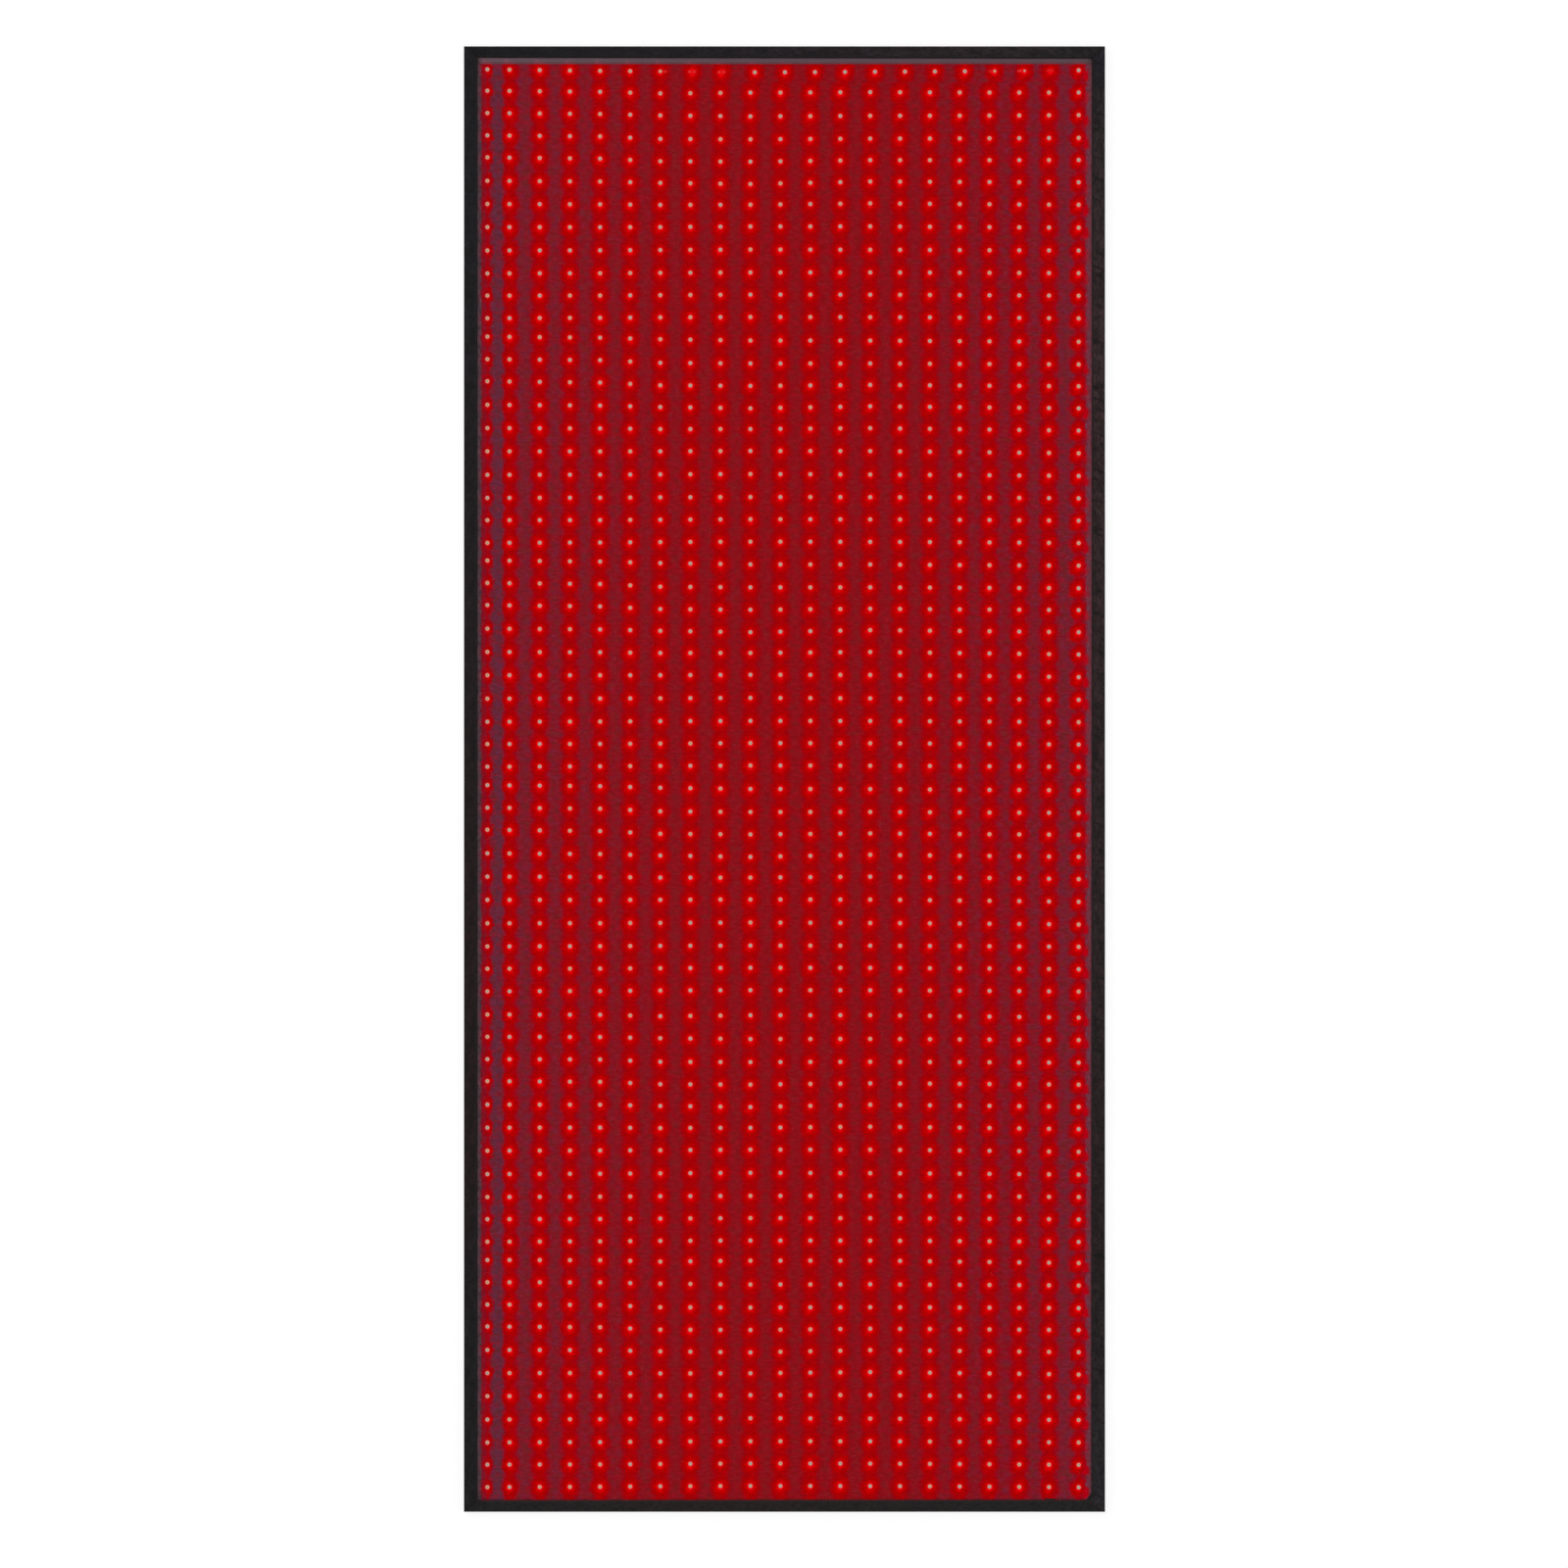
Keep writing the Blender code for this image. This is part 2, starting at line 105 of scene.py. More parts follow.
# The binding: a C-section strip round every edge. Trims say how much wider or narrower its upper
# leg is at a strip's two ends, from the foot or from the left, and side strips change in between
BINDING_TOP = 12.6 * MM
BINDING_THICKNESS = 1.2 * MM
BINDING_RADIUS = 2.5 * MM
BINDING_SIDE_WIDTH = 15.0 * MM
BINDING_END_WIDTH = 12.5 * MM
BINDING_ROUNDING = 0.35 * MM
DEEPEST_CREASE = 0.7 * MM
LEFT_TRIM = (-0.05 * MM, -0.05 * MM)
RIGHT_TRIM = (0.3 * MM, -0.3 * MM)
SIDE_CHANGE = (-500.0 * MM, 200.0 * MM)
HEAD_TRIM = (0.15 * MM, 1.25 * MM)
FOOT_TRIM = (0.65 * MM, 1.1 * MM)
# At the foot's right corner the side strip is tucked in: how much wider it is, over what length
TUCK_WIDTH = 6.4 * MM
TUCK_LENGTH = 18.0 * MM
# Over this length from a corner a strip is cut back step by step, to leave this gap in the mitre
MITRE_LENGTH = 25.0 * MM
MITRE_GAP = 0.12 * MM

# Lamps on their boards
BOARD_ROWS = (12, 10, 10, 10, 11, 11)
BOARD_HEAD_MARGIN = 7.6 * MM
BOARD_FOOT_MARGIN = 13.4 * MM
BOARD_LEFT_MARGIN = 6.3 * MM
BOARD_RIGHT_MARGIN = 7.1 * MM
BOARD_SLIT = 0.3 * MM
FIRST_COLUMN_GAP = 24.2 * MM
LAMP_COLUMNS = 21
COLUMN_BOW = 1.4 * MM
LAMP_RADIUS = 2.7 * MM
LAMP_RIM_HEIGHT = 0.7 * MM
LAMP_SIDES = 16
# How rows wave across the mat: constant, slope and bow in pixels, at a board's first row and last
FIRST_ROW_WAVES = ((1.1, 0.4, -2.4),) + ((0.4, 2.05, -0.65),) * 3 + ((0.1, 1.1, 0.1),) * 2
LAST_ROW_WAVE = (-0.65, 0.0, 1.35)
# How far each board lies beyond its even place, in pixels, and how far each of its rows strays, in
# tenths of a pixel, at some columns: rows count from the foot, because all boards are alike there
BOARD_DRIFT = (-1.08, -0.2, -0.17, 0.68, 1.13, 0.2)
STRAY_COLUMNS = (0, 4, 6, 9, 13, 20)
ROW_STRAYS = ((2, 5, 3, 1, 2, 4), (3, 7, 5, 1, 1, 4), (8, 9, 6, 3, 2, 4), (5, 5, 2, -3, -1, 4),
              (-2, -2, -4, -10, -12, 1), (-7, -6, -1, -4, -18, -2), (-12, -9, 3, 13, -13, -1),
              (-20, -13, 11, 13, -3, 2), (-13, -11, 12, 13, 6, 7), (-10, -10, 1, 7, 1, 5),
              (-6, -7, 5, -7, -12, 5), (8, 9, 9, 14, 8, 9))
# The top row's lamps from this column to that one were soldered to the right of their places
SHIFTED_COLUMNS = (9, 18)
SHIFT = (4.8 * MM, 5.8 * MM)
# Top row: lamps that show as a wide smear, with how far right of their places, those of them that
# have two paler lobes, as (to the right, strength) of each, and small smears of red light beside
# others, as (column, millimetres to the right of the column, strength)
BLURRED_COLUMNS = {7: 2.1 * MM, 8: 1.4 * MM, 19: 1.3 * MM}
LOBED_COLUMNS = (7, 8)
LOBES = ((-3.4, 0.85), (3.0, 0.4))
SMEARS = ((6, 5.0, 0.45), (17, 0.9, 0.35), (18, 0.4, 0.75))
# A blurred lamp is wider and flatter. Its lens's pattern starts this many millimetres away, where
# the lobes lie, and twice as many away on a lamp without lobes
BLUR_STRETCH = (1.65, 0.72)
BLUR_OFFSET = 20.0
# Top row: lamps whose middle shows smaller, and how much
FAINT_COLUMNS = {6: 1.2, 17: 1.4, 18: 1.8}

# Folds: half the length that bends, and the spacing of the mesh there and elsewhere
END_BEND = 8.0 * MM
MIDDLE_BEND = 9.5 * MM
FINE_STEP = 1.0 * MM
COARSE_STEP = 12.0 * MM
STRIP_STEP = 2.5 * MM
LEAD_STEP = 20.0 * MM

# Stitching along the binding, and each stitch's sections as (share of its length, dip, thickness)
STITCH_INSET = 2.0 * MM
STITCH_PITCH = 4.0 * MM
STITCH_LENGTH = 2.9 * MM
STITCH_LEAN = (-0.06, 0.1)
STITCH_GROOVE = 0.35 * MM
STITCH_GROOVE_REACH = 0.9 * MM
THREAD_RADIUS = 0.3 * MM
THREAD_SIDES = 6
STITCH_SECTIONS = ((-0.5, -1.1, 0.5), (-0.4, -0.3, 0.9), (-0.2, 0.0, 1.0), (0.2, 0.0, 1.0),
                   (0.4, -0.3, 0.9), (0.5, -1.1, 0.5))

# The socket and the two leads that run from it in the pad's groove
SOCKET_X = HALF_WIDTH - 60.0 * MM
SOCKET_AXIS_HEIGHT = 6.5 * MM
SOCKET_HOLE_RADIUS = 3.7 * MM
SOCKET_HOLE_SIDES = 40
SOCKET_REAR = -HALF_LENGTH + 14.2 * MM
SOCKET_POCKET_HALF_WIDTH = 5.75 * MM
LEAD_SPACING = 6.5 * MM
LEAD_WIDTH = 4.0 * MM
LEAD_THICKNESS = 1.6 * MM
LEAD_SIDES = 12
LEAD_BASE = 5.9 * MM
GROOVE_HALF_WIDTH = (LEAD_SPACING + LEAD_WIDTH) / 2 + CLEARANCE
GROOVE_END = HALF_LENGTH - 24.0 * MM


# ---------------------------------------------------------------- places

def between(start, end, share):
    return start + share * (end - start)


def steps(low, high, count):
    """The places that part low to high into this many steps."""
    return [low + (high - low) * index / count for index in range(count + 1)]


def spaced(low, high, step):
    """Places from low to high, about one step apart."""
    return steps(low, high, max(1, round((high - low) / step)))


# The foot edge and head edge of each lamp board along Y, from the head end, and the boards' sides
BOARD_BOXES = [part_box(f"lamp_board_{number + 1}") for number in range(len(BOARD_ROWS))]
BOARDS = [(low.y, high.y) for low, high in BOARD_BOXES]
BOARD_LEFT, BOARD_RIGHT = [corner.x for corner in BOARD_BOXES[0]]
HEAD_EDGE = BOARDS[0][1]


def column_places():
    """The middle of each column of lamps, bowed a little to the right half way across."""
    first = BOARD_LEFT + BOARD_LEFT_MARGIN
    second, last = first + FIRST_COLUMN_GAP, BOARD_RIGHT - BOARD_RIGHT_MARGIN
    places = [first]
    for share in steps(0.0, 1.0, LAMP_COLUMNS - 2):
        places.append(between(second, last, share) + COLUMN_BOW * (1 - (2 * share - 1) ** 2))
    return places


def stray(board, row, column):
    """How far a lamp strays from its row's even place, in pixels towards the foot."""
    strays = ROW_STRAYS[BOARD_ROWS[board] - 1 - row]
    last = next(k for k, stop in enumerate(STRAY_COLUMNS) if stop >= max(column, 1))
    start, end = STRAY_COLUMNS[last - 1:last + 1]
    share = (column - start) / (end - start)
    return BOARD_DRIFT[board] + between(*strays[last - 1:last + 1], share) / 10


COLUMNS = column_places()
# Every row of lamps as (board, row on it, place along Y), from the head end
ROWS = [(board, row, y) for board, (foot, head) in enumerate(BOARDS)
        for row, y in enumerate(steps(head - BOARD_HEAD_MARGIN, foot + BOARD_FOOT_MARGIN,
                                      BOARD_ROWS[board] - 1))]


def lamp_place(board, row, y, column):
    """Where one lamp's middle is: its row waves a little across the mat."""
    x = COLUMNS[column]
    across = x / HALF_WIDTH
    first, last = [a + b * across + c * across * across
                   for a, b, c in (FIRST_ROW_WAVES[board], LAST_ROW_WAVE)]
    wave = between(first, last, row / (BOARD_ROWS[board] - 1)) + stray(board, row, column)
    if board == row == 0:
        x += BLURRED_COLUMNS.get(column, 0.0)
        start, end = SHIFTED_COLUMNS
        if start <= column <= end:
            x += between(*SHIFT, (column - start) / (end - start))
    return x, y - wave * PIXEL


def middles(places):
    return [(a + b) / 2 for a, b in zip(places, places[1:])]


LAMPS = [[lamp_place(*place, column) for column in range(LAMP_COLUMNS)] for place in ROWS]
COLUMN_BORDERS = middles(COLUMNS)
ROW_BORDERS = middles([y for _, _, y in ROWS])


def nearest_lamp(x, y):
    """The middle of the lamp whose cell holds this place."""
    column = sum(x > border for border in COLUMN_BORDERS)
    row = sum(y < border for border in ROW_BORDERS)
    return LAMPS[row][column]


class Stretch:
    """A stretch of the mat's flexible layers, and the fold that it bends at.

    towards is the way along Y in which the fold's child body lies.
    """

    def __init__(self, name, low, high, bend, boards):
        joint = next(j for j in frame["joints"] if j["name"] == f"{name}_fold")
        self.name, self.low, self.high = name, low, high
        self.bend, self.boards = bend, boards
        self.fold = joint["pos_m"][1]
        self.bodies = joint["parent"], joint["child"]
        self.towards = -1 if name == "foot" else 1

    def hold(self, piece, slot, nodes=()):
        """Hides the nodes that a piece replaces, and bakes its place into its points; slot is not
        used.
        """
        if nodes:
            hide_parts(*nodes)
        ends = [Vector((0, self.fold + way * self.towards * self.bend, 0)) for way in (-1, 1)]
        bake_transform(piece)

    def nodes(self, kind):
        """The CAD nodes of this kind in the sections that this stretch runs over, from the foot."""
        return [f"{kind}_{body.removesuffix('_section')}" for body in self.bodies[::self.towards]]

    def lines(self, low, high, step):
        """Places along Y from low to high: fine where the mat bends, coarse elsewhere."""
        places = spaced(low, high, step)
        near = self.fold - self.bend - FINE_STEP, self.fold + self.bend + FINE_STEP
        inside = [y for y in spaced(*near, FINE_STEP) if low < y < high]
        if inside:
            clear = FINE_STEP / 2
            places = [y for y in places
                      if not near[0] - clear < y < near[1] + clear or y in (low, high)]
        return sorted(set(places + inside))

    def layer_lines(self):
        """Places along Y for a layer that ends inside the binding at the mat's own ends."""
        reach = HALF_LENGTH - LAYER_INSET
        return self.lines(max(self.low, -reach), min(self.high, reach), COARSE_STEP)


UPPER_SEAM, LOWER_SEAM = [(BOARDS[k][0] + BOARDS[k + 1][1]) / 2 for k in (1, 3)]
STRETCHES = (Stretch("head", UPPER_SEAM, HALF_LENGTH, END_BEND, (1, 2)),
             Stretch("middle", LOWER_SEAM, UPPER_SEAM, MIDDLE_BEND, (3, 4)),
             Stretch("foot", -HALF_LENGTH, LOWER_SEAM, END_BEND, (5, 6)))


def ripple(x, y, size, seed):
    """Smooth unevenness between -1 and 1, with bumps of about this size."""
    return noise.noise(Vector((x / size, y / size, seed)))


# ---------------------------------------------------------------- materials

def srgb(*values):
    """A colour as it is seen on a screen, 0 to 255, as the linear colour that shaders take."""
    shares = [value / 255 for value in values]
    return tuple(share / 12.92 if share <= 0.04045 else ((share + 0.055) / 1.055) ** 2.4
                 for share in shares)


class Wire:
    """A node's output, which each sign and method here leads through one more node."""

    def __init__(self, nodes, socket):
        self.nodes = nodes
        self.socket = socket

    def maths(self, operation, other=0.0):
        return self.nodes.node("Math", {0: self, 1: other}, operation=operation)

    __add__ = partialmethod(maths, "ADD")
    __sub__ = partialmethod(maths, "SUBTRACT")
    __mul__ = partialmethod(maths, "MULTIPLY")
    __truediv__ = partialmethod(maths, "DIVIDE")
    __abs__ = partialmethod(maths, "ABSOLUTE")

    def __rsub__(self, other):
        return self.nodes.node("Math", {0: other, 1: self}, operation="SUBTRACT")

    def span(self, low, high, start=0.0, end=1.0):
        """A value carried from low...high to start...end, smoothly, and held beyond."""
        inputs = {"Value": self, 1: low, 2: high, 3: start, 4: end}
        return self.nodes.node("MapRange", inputs, interpolation_type="SMOOTHSTEP")

    def mix(self, first, second):
        """The first colour where this share is 0, the second where it is 1."""
        return self.nodes.mix(self, first, second)

    def times(self, shade, share=1.0):
        return self.nodes.mix(share, self, shade, "MULTIPLY")

    def ramp(self, *stops):
        """A colour or grey read from stops of (place, colour)."""
        made = self.nodes.node("ValToRGB", {"Fac": self})
        line = made.socket.node.color_ramp
        while len(line.elements) < len(stops):
            line.elements.new(0.5)
        for element, (place, colour) in zip(line.elements, sorted(stops)):
            element.position = place
            element.color = *(colour if isinstance(colour, tuple) else (colour,) * 3), 1.0
        return made

    def vector(self, operation, other=(0.0, 0.0, 0.0), output="Vector"):
        return self.nodes.node("VectorMath", {0: self, 1: other}, output, operation=operation)

    def moved(self, x, y):
        return self.vector("ADD", (x, y, 0.0))

    def stretched(self, x, y):
        """A vector scaled by unlike amounts across and along."""
        return self.vector("MULTIPLY", (x, y, 1.0))

    def in_mm(self):
        return self.stretched(1 / MM, 1 / MM)

    def axes(self):
        """A vector's two parts, across and along."""
        x = self.nodes.node("SeparateXYZ", {0: self})
        return x, Wire(self.nodes, x.socket.node.outputs["Y"])

    def length(self):
        """How far a vector reaches over the mat, whatever its height."""
        return self.vector("MULTIPLY", (1.0, 1.0, 0.0)).vector("LENGTH", output="Value")

    def noise(self, scale, detail=2.0, roughness=0.5, dimensions="2D", output="Fac"):
        """Noise at a vector, with one scale or with unlike ones across and along."""
        if isinstance(scale, tuple):
            return self.stretched(*scale).noise(1.0, detail, roughness)
        inputs = {"Vector": self, "Scale": scale, "Detail": detail, "Roughness": roughness}
        return self.nodes.node("TexNoise", inputs, output, noise_dimensions=dimensions)


class Nodes:
    """A tree of shader nodes. Its colours have no alpha."""

    def __init__(self, tree):
        self.tree = tree

    def feed(self, socket, value):
        """Leads a wire into a socket, or sets the socket to a constant."""
        if isinstance(value, Wire):
            self.tree.links.new(value.socket, socket)
        else:
            socket.default_value = (*value, 1.0) if socket.type == "RGBA" else value

    def node(self, kind, inputs=None, output=0, **settings):
        """The wire from a new node's output."""
        made = self.tree.nodes.new(f"ShaderNode{kind}")
        for key, value in settings.items():
            setattr(made, key, value)
        for key, value in (inputs or {}).items():
            self.feed(made.inputs[key], value)
        return Wire(self, made.outputs[output])

    def mix(self, share, first, second, blend="MIX"):
        return self.node("Mix", {0: share, 6: first, 7: second}, 2, data_type="RGBA",
                         blend_type=blend, clamp_factor=True)

    def uv(self, name="place"):
        return self.node("UVMap", uv_map=name)

    def seen(self):
        """1 for rays from the camera, from gloss and through clear things, and else 0."""
        rays = [self.node("LightPath", output=f"Is {kind} Ray")
                for kind in ("Camera", "Glossy", "Transmission")]
        return rays[0].maths("MAXIMUM", rays[1]).maths("MAXIMUM", rays[2])


class Finish(Nodes):
    """A Principled material, whose inputs are named with underscores."""

    def __init__(self, name, **values):
        self.material = bpy.data.materials.new(name)
        self.material.use_nodes = True
        self.material.cycles.emission_sampling = "NONE"
        super().__init__(self.material.node_tree)
        self.drive(**values)

    def drive(self, **values):
        for name, value in values.items():
            self.feed(self.tree.nodes["Principled BSDF"].inputs[name.replace("_", " ")], value)

    def relief(self, height, distance):
        """Adds the surface's relief, and hands over the finished material."""
        self.drive(Normal=self.node("Bump", {"Height": height, "Distance": distance}))
        return self.material


GLOWING = {"Specular_IOR_Level": 0.0, "Emission_Strength": 1.0}
BLACK = (0.0, 0.0, 0.0)
# What a brightly lit place reflects besides, and how far grain roughens a halo, in millimetres
LIT_BASE = (0.02, 0.0, 0.001)
CALM_GRAIN = 5.0

# Light round a lamp, as (millimetres, colour), from a middle that lies a little towards the foot
HALO_STOPS = ((2.2, (246, 6, 12)), (2.9, (226, 0, 8)), (3.6, (208, 0, 6)), (4.5, (197, 0, 4)),
              (5.4, (187, 0, 2)), (6.3, (178, 0, 2)), (7.4, (171, 1, 3)), (8.8, (167, 2, 5)),
              (10.5, (165, 2, 6)))
HALO_REACH = 12.0
HALO_SQUEEZE = 0.88
HALO_DROP = 0.7
HALO_LEAN = 0.35
BAND_COLOUR = srgb(165, 2, 7)
BAND_SHOULDER = srgb(152, 3, 14)
SIDE_SHOULDER = srgb(150, 2, 26)
# The painted light between the columns, by the place across the mat
GAP_STOPS = ((-0.328, (118, 22, 38)), (-0.317, (80, 45, 64)), (-0.305, (86, 42, 61)),
             (-0.284, (117, 29, 42)), (-0.17, (132, 20, 31)), (0.0, (138, 16, 25)),
             (0.15, (133, 18, 29)), (0.25, (129, 21, 34)), (0.31, (112, 32, 47)))
# The red band down a column ends this far from its middle, over this half width, in millimetres:
# at a lamp and half way between lamps, down the first column and down the others
BAND_ENDS = ((6.0, 10.4), (1.5, 6.8))
BAND_FADES = ((2.0, 3.7), (3.0, 4.8))
BETWEEN_LAMPS = (2.5, 12.5)
FIRST_COLUMN_ENDS = (-0.318, -0.299)
# Towards the last column the band gets narrower between lamps
LAST_COLUMN_STARTS = (0.3, 0.311)
LAST_BAND_SHARES = (0.93, 0.45)
# Patches of painted light in the gaps: how fine they are across and along, noise's span, colour,
# and their share in the middle of the mat and near its sides
GAP_PATCHES = (((80.0, 190.0), 0.5, 0.64, (94, 38, 38), 0.3, 0.6),
               ((95.0, 150.0), 0.46, 0.7, (150, 6, 32), 0.3, 0.4),
               ((130.0, 150.0), 0.5, 0.66, (98, 36, 66), 0.08, 0.45),
               ((200.0, 520.0), 0.5, 0.64, (92, 26, 26), 0.3, 0.22))
PATCHY_SIDES = (0.1, 0.3)
# The boards' light is duller beyond this far from the mat's middle line
DULL_EDGE = (0.3225, 0.3275)
# A burst of light over the boards' right edge: from a lamp to its middle in millimetres, and shape
BURST_SHIFT = (-8.3, 6.0)
BURST_STRETCH = (0.85, 0.5)
BURST_COLOUR = srgb(184, 0, 18)
# Blotches of painted light on the foam to the right of the boards: how fine, noise's span, and
# colour
RIGHT_BLOTCHES = (((260.0, 300.0), 0.46, 0.6, (108, 62, 90)),
                  ((330.0, 250.0), 0.52, 0.66, (158, 4, 24)),
                  ((420.0, 420.0), 0.5, 0.66, (92, 34, 46)))


def speckled_offset(finish, amount):
    """The offset from the nearest lamp in millimetres, roughened by fine grain."""
    grain = finish.uv().noise(260.0, 3.0, 0.75, output="Color")
    shaken = grain.vector("SUBTRACT", (0.5, 0.5, 0.5)).stretched(amount, amount)
    return finish.uv("lamp").in_mm().vector("ADD", shaken)


def per_lamp(finish, scale):
    """A value of its own for every lamp, the same all over its cell."""
    return finish.uv().vector("SUBTRACT", finish.uv("lamp")).noise(scale, 0.0)


def bursts(finish, x):
    """Where light bursts over the boards' right edge, below some lamps of the last column."""
    offset = speckled_offset(finish, 9.0).moved(*BURST_SHIFT).stretched(*BURST_STRETCH)
    strength = per_lamp(finish, 57.0).span(0.32, 0.5, 0.4, 1.0)
    patch = offset.length().span(1.9, 4.3, 1.0, 0.0) * strength
    return patch * x.span(BOARD_RIGHT - 5.0 * MM, BOARD_RIGHT - MM)


def glow_colour(finish):
    """The light on a board: a halo round each lamp, a red band down each column, dull gaps between.

    The band is widest beside the lamps, and down the first column it and the halos are narrow.
    """
    x, _ = finish.uv().axes()
    across, along = [abs(part) for part in speckled_offset(finish, 11.0).axes()]

    def by_place(values):
        at_lamp, halfway = [x.span(*FIRST_COLUMN_ENDS, *pair) for pair in values]
        return along.span(*BETWEEN_LAMPS, at_lamp, halfway)

    last = [x.span(*LAST_COLUMN_STARTS, 1.0, share) for share in LAST_BAND_SHARES]
    ends = by_place(BAND_ENDS) * along.span(*BETWEEN_LAMPS, *last)
    beyond = (across - ends) / by_place(BAND_FADES)
    gap = (x + 0.5).ramp(*[(0.5 + place, srgb(*colour)) for place, colour in GAP_STOPS])
    edge = abs(x).span(*PATCHY_SIDES).mix(BAND_SHOULDER, SIDE_SHOULDER)
    shoulder = beyond.span(-1.0, 0.3).mix(BAND_COLOUR, edge)
    band = beyond.span(-0.5, 1.0).mix(shoulder, mottled(finish, gap))

    # The halo is squeezed along the mat, leans to the right further on, and differs by lamp
    right, up = speckled_offset(finish, CALM_GRAIN).axes()
    lean = x.span(-0.3, 0.3, 0.0, HALO_LEAN) * (abs(up).span(2.0, 7.0) * up)
    place = finish.node("CombineXYZ", {0: right - lean, 1: up * HALO_SQUEEZE})
    narrowing = x.span(*FIRST_COLUMN_ENDS, 0.6, 1.0)
    own = per_lamp(finish, 41.0).span(0.3, 0.7, 0.9, 1.1)
    radius = place.moved(0.0, HALO_DROP).length() / (narrowing * own)
    stops = [(stop / HALO_REACH, srgb(*colour)) for stop, colour in HALO_STOPS]
    halo = (radius / HALO_REACH).ramp(*stops)
    light = radius.span(6.5, 11.0, 1.0, 0.0).mix(band, halo)

    dull = x.span(-0.1, 0.1).mix(srgb(118, 18, 36), srgb(148, 2, 24))
    light = abs(x).span(*DULL_EDGE, 0.0, 0.42).mix(light, dull)
    light = bursts(finish, x).mix(light, BURST_COLOUR)
    streaks = finish.uv().noise((130.0, 420.0), 2.0, 0.65).span(0.3, 0.7)
    return light.times(streaks.ramp((0.0, 0.84), (1.0, 1.14)))


def mottled(finish, gap):
    """Patches of painted light, grey brown, magenta and violet, drawn out across the mat, over a
    gap's colour.
    """
    x, _ = finish.uv().axes()
    for fineness, low, high, colour, middle, sides in GAP_PATCHES:
        patches = finish.uv().noise(fineness, 1.5, 0.55).span(low, high)
        share = patches * abs(x).span(*PATCHY_SIDES, middle, sides)
        gap = share.mix(gap, srgb(*colour))
    return gap


def smeared(finish, light):
    """Small smears of red light beside a few lamps of the top row, over a board's light."""
    for column, shift, strength in SMEARS:
        x, y = COLUMNS[column] / MM + shift, LAMPS[0][column][1] / MM
        offset = finish.uv().in_mm().moved(-x, -y).stretched(0.65, 1.0)
        share = offset.length().span(0.3, 2.4, strength, 0.0)
        light = share.mix(light, srgb(240, 58, 56))
    return light


def board_lacquer():
    # Dark red lacquer; the light that the lamps cast on the board is painted on as its emission
    finish = Finish("board_lacquer", Base_Color=(0.055, 0.0, 0.0), Roughness=0.5, **GLOWING)
    finish.drive(Emission_Color=smeared(finish, glow_colour(finish)))
    return finish.relief(finish.uv().noise((900.0, 900.0)), 0.1 * MM)


def pad_foam():
    """Grey closed-cell foam with the lamps' light painted on: red near the lamps, and lit red in
    the slits between boards.
    """
    finish = Finish("grey_foam", Roughness=0.9, **GLOWING)
    place = finish.uv()
    x, y = place.axes()
    right = x.maths("GREATER_THAN", BOARD_RIGHT)
    left = x.maths("LESS_THAN", BOARD_LEFT)
    beside = y.maths("LESS_THAN", HEAD_EDGE)
    right_strip = right * beside
    off_board = right.maths("MAXIMUM", left).maths("MAXIMUM", 1.0 - beside)

    # What the foam reflects: grey at the head end and the sides, nearly nothing where light falls
    cells = place.noise(1400.0, 3.0)
    # At the head end the grey is darker and redder next to the boards, and painted lighter towards
    # the binding, against the binding's shade
    head_grey_with_painted_light = y.span(HEAD_EDGE, HEAD_EDGE + 6.0 * MM).mix(srgb(104, 70, 78), srgb(122, 102, 110))
    side_grey = cells.span(0.3, 0.7).mix(srgb(86, 62, 72), srgb(102, 78, 86))
    # Near the left binding the grey is painted lighter, against the binding's shade
    painted_light_near_left = x.span(BOARD_LEFT - 5.0 * MM, BOARD_LEFT - 1.0 * MM, 1.0, 0.0)
    grey = beside.mix(head_grey_with_painted_light, painted_light_near_left.mix(side_grey, srgb(122, 98, 108)))
    outer = x.span(BOARD_RIGHT + MM, BOARD_RIGHT + 6.5 * MM, 0.15, 0.85)
    grey = right_strip.mix(grey, outer.mix(BLACK, grey))
    grey = grey.times(cells.ramp((0.3, 0.88), (0.7, 1.1)))
    clouds = place.noise((240.0, 200.0), 2.0)
    grey = grey.times(clouds.ramp((0.35, 0.78), (0.65, 1.2)), beside)
    offset = speckled_offset(finish, CALM_GRAIN)
    radius = offset.moved(0.0, HALO_DROP).length()
    grey = radius.span(4.6, 7.8, 1.0, 0.0).mix(grey, LIT_BASE)
    ragged = place.noise((330.0, 280.0), 3.0, 0.7).span(0.3, 0.7, -1.5 * MM, 1.3 * MM)
    beyond = (x - BOARD_RIGHT).maths("MAXIMUM", BOARD_LEFT - x) + ragged
    spill = beyond.span(0.0, 0.8 * MM, 1.0, 0.0)
    burst = bursts(finish, x) * x.span(BOARD_RIGHT + 1.0 * MM, BOARD_RIGHT + 6.5 * MM, 1.0, 0.55)
    grey = (spill.maths("MAXIMUM", burst) * beside).mix(grey, LIT_BASE)
    finish.drive(Base_Color=off_board.mix(LIT_BASE, grey))

    # The light on it: red near lamps with dark red ticks at the head end, and a board's own light
    red = (radius / 20.0).ramp((0.28, srgb(128, 0, 16)), (0.38, srgb(82, 0, 14)),
                               (0.48, srgb(50, 0, 8)), (0.6, srgb(20, 0, 4)), (0.75, BLACK))
    tick = offset.moved(3.7, -10.0).length().span(0.6, 2.6, 0.8, 0.0)
    tick = tick * x.span(-0.1, 0.1, 1.0, 0.15) * (1.0 - beside)
    light = glow_colour(finish)
    strip = right_strip.mix(tick.mix(red, srgb(104, 8, 42)), right_glow(finish, x, burst))
    strip = (spill * beside).mix(strip, light)
    # Under the boards, where the slits show it, the foam carries the boards' painted light, a
    # little darker: painted shade in the slits
    finish.drive(Emission_Color=off_board.mix(finish.mix(0.16, light, (0.02, 0.0, 0.0)), strip))
    return finish.relief(cells, 0.2 * MM)


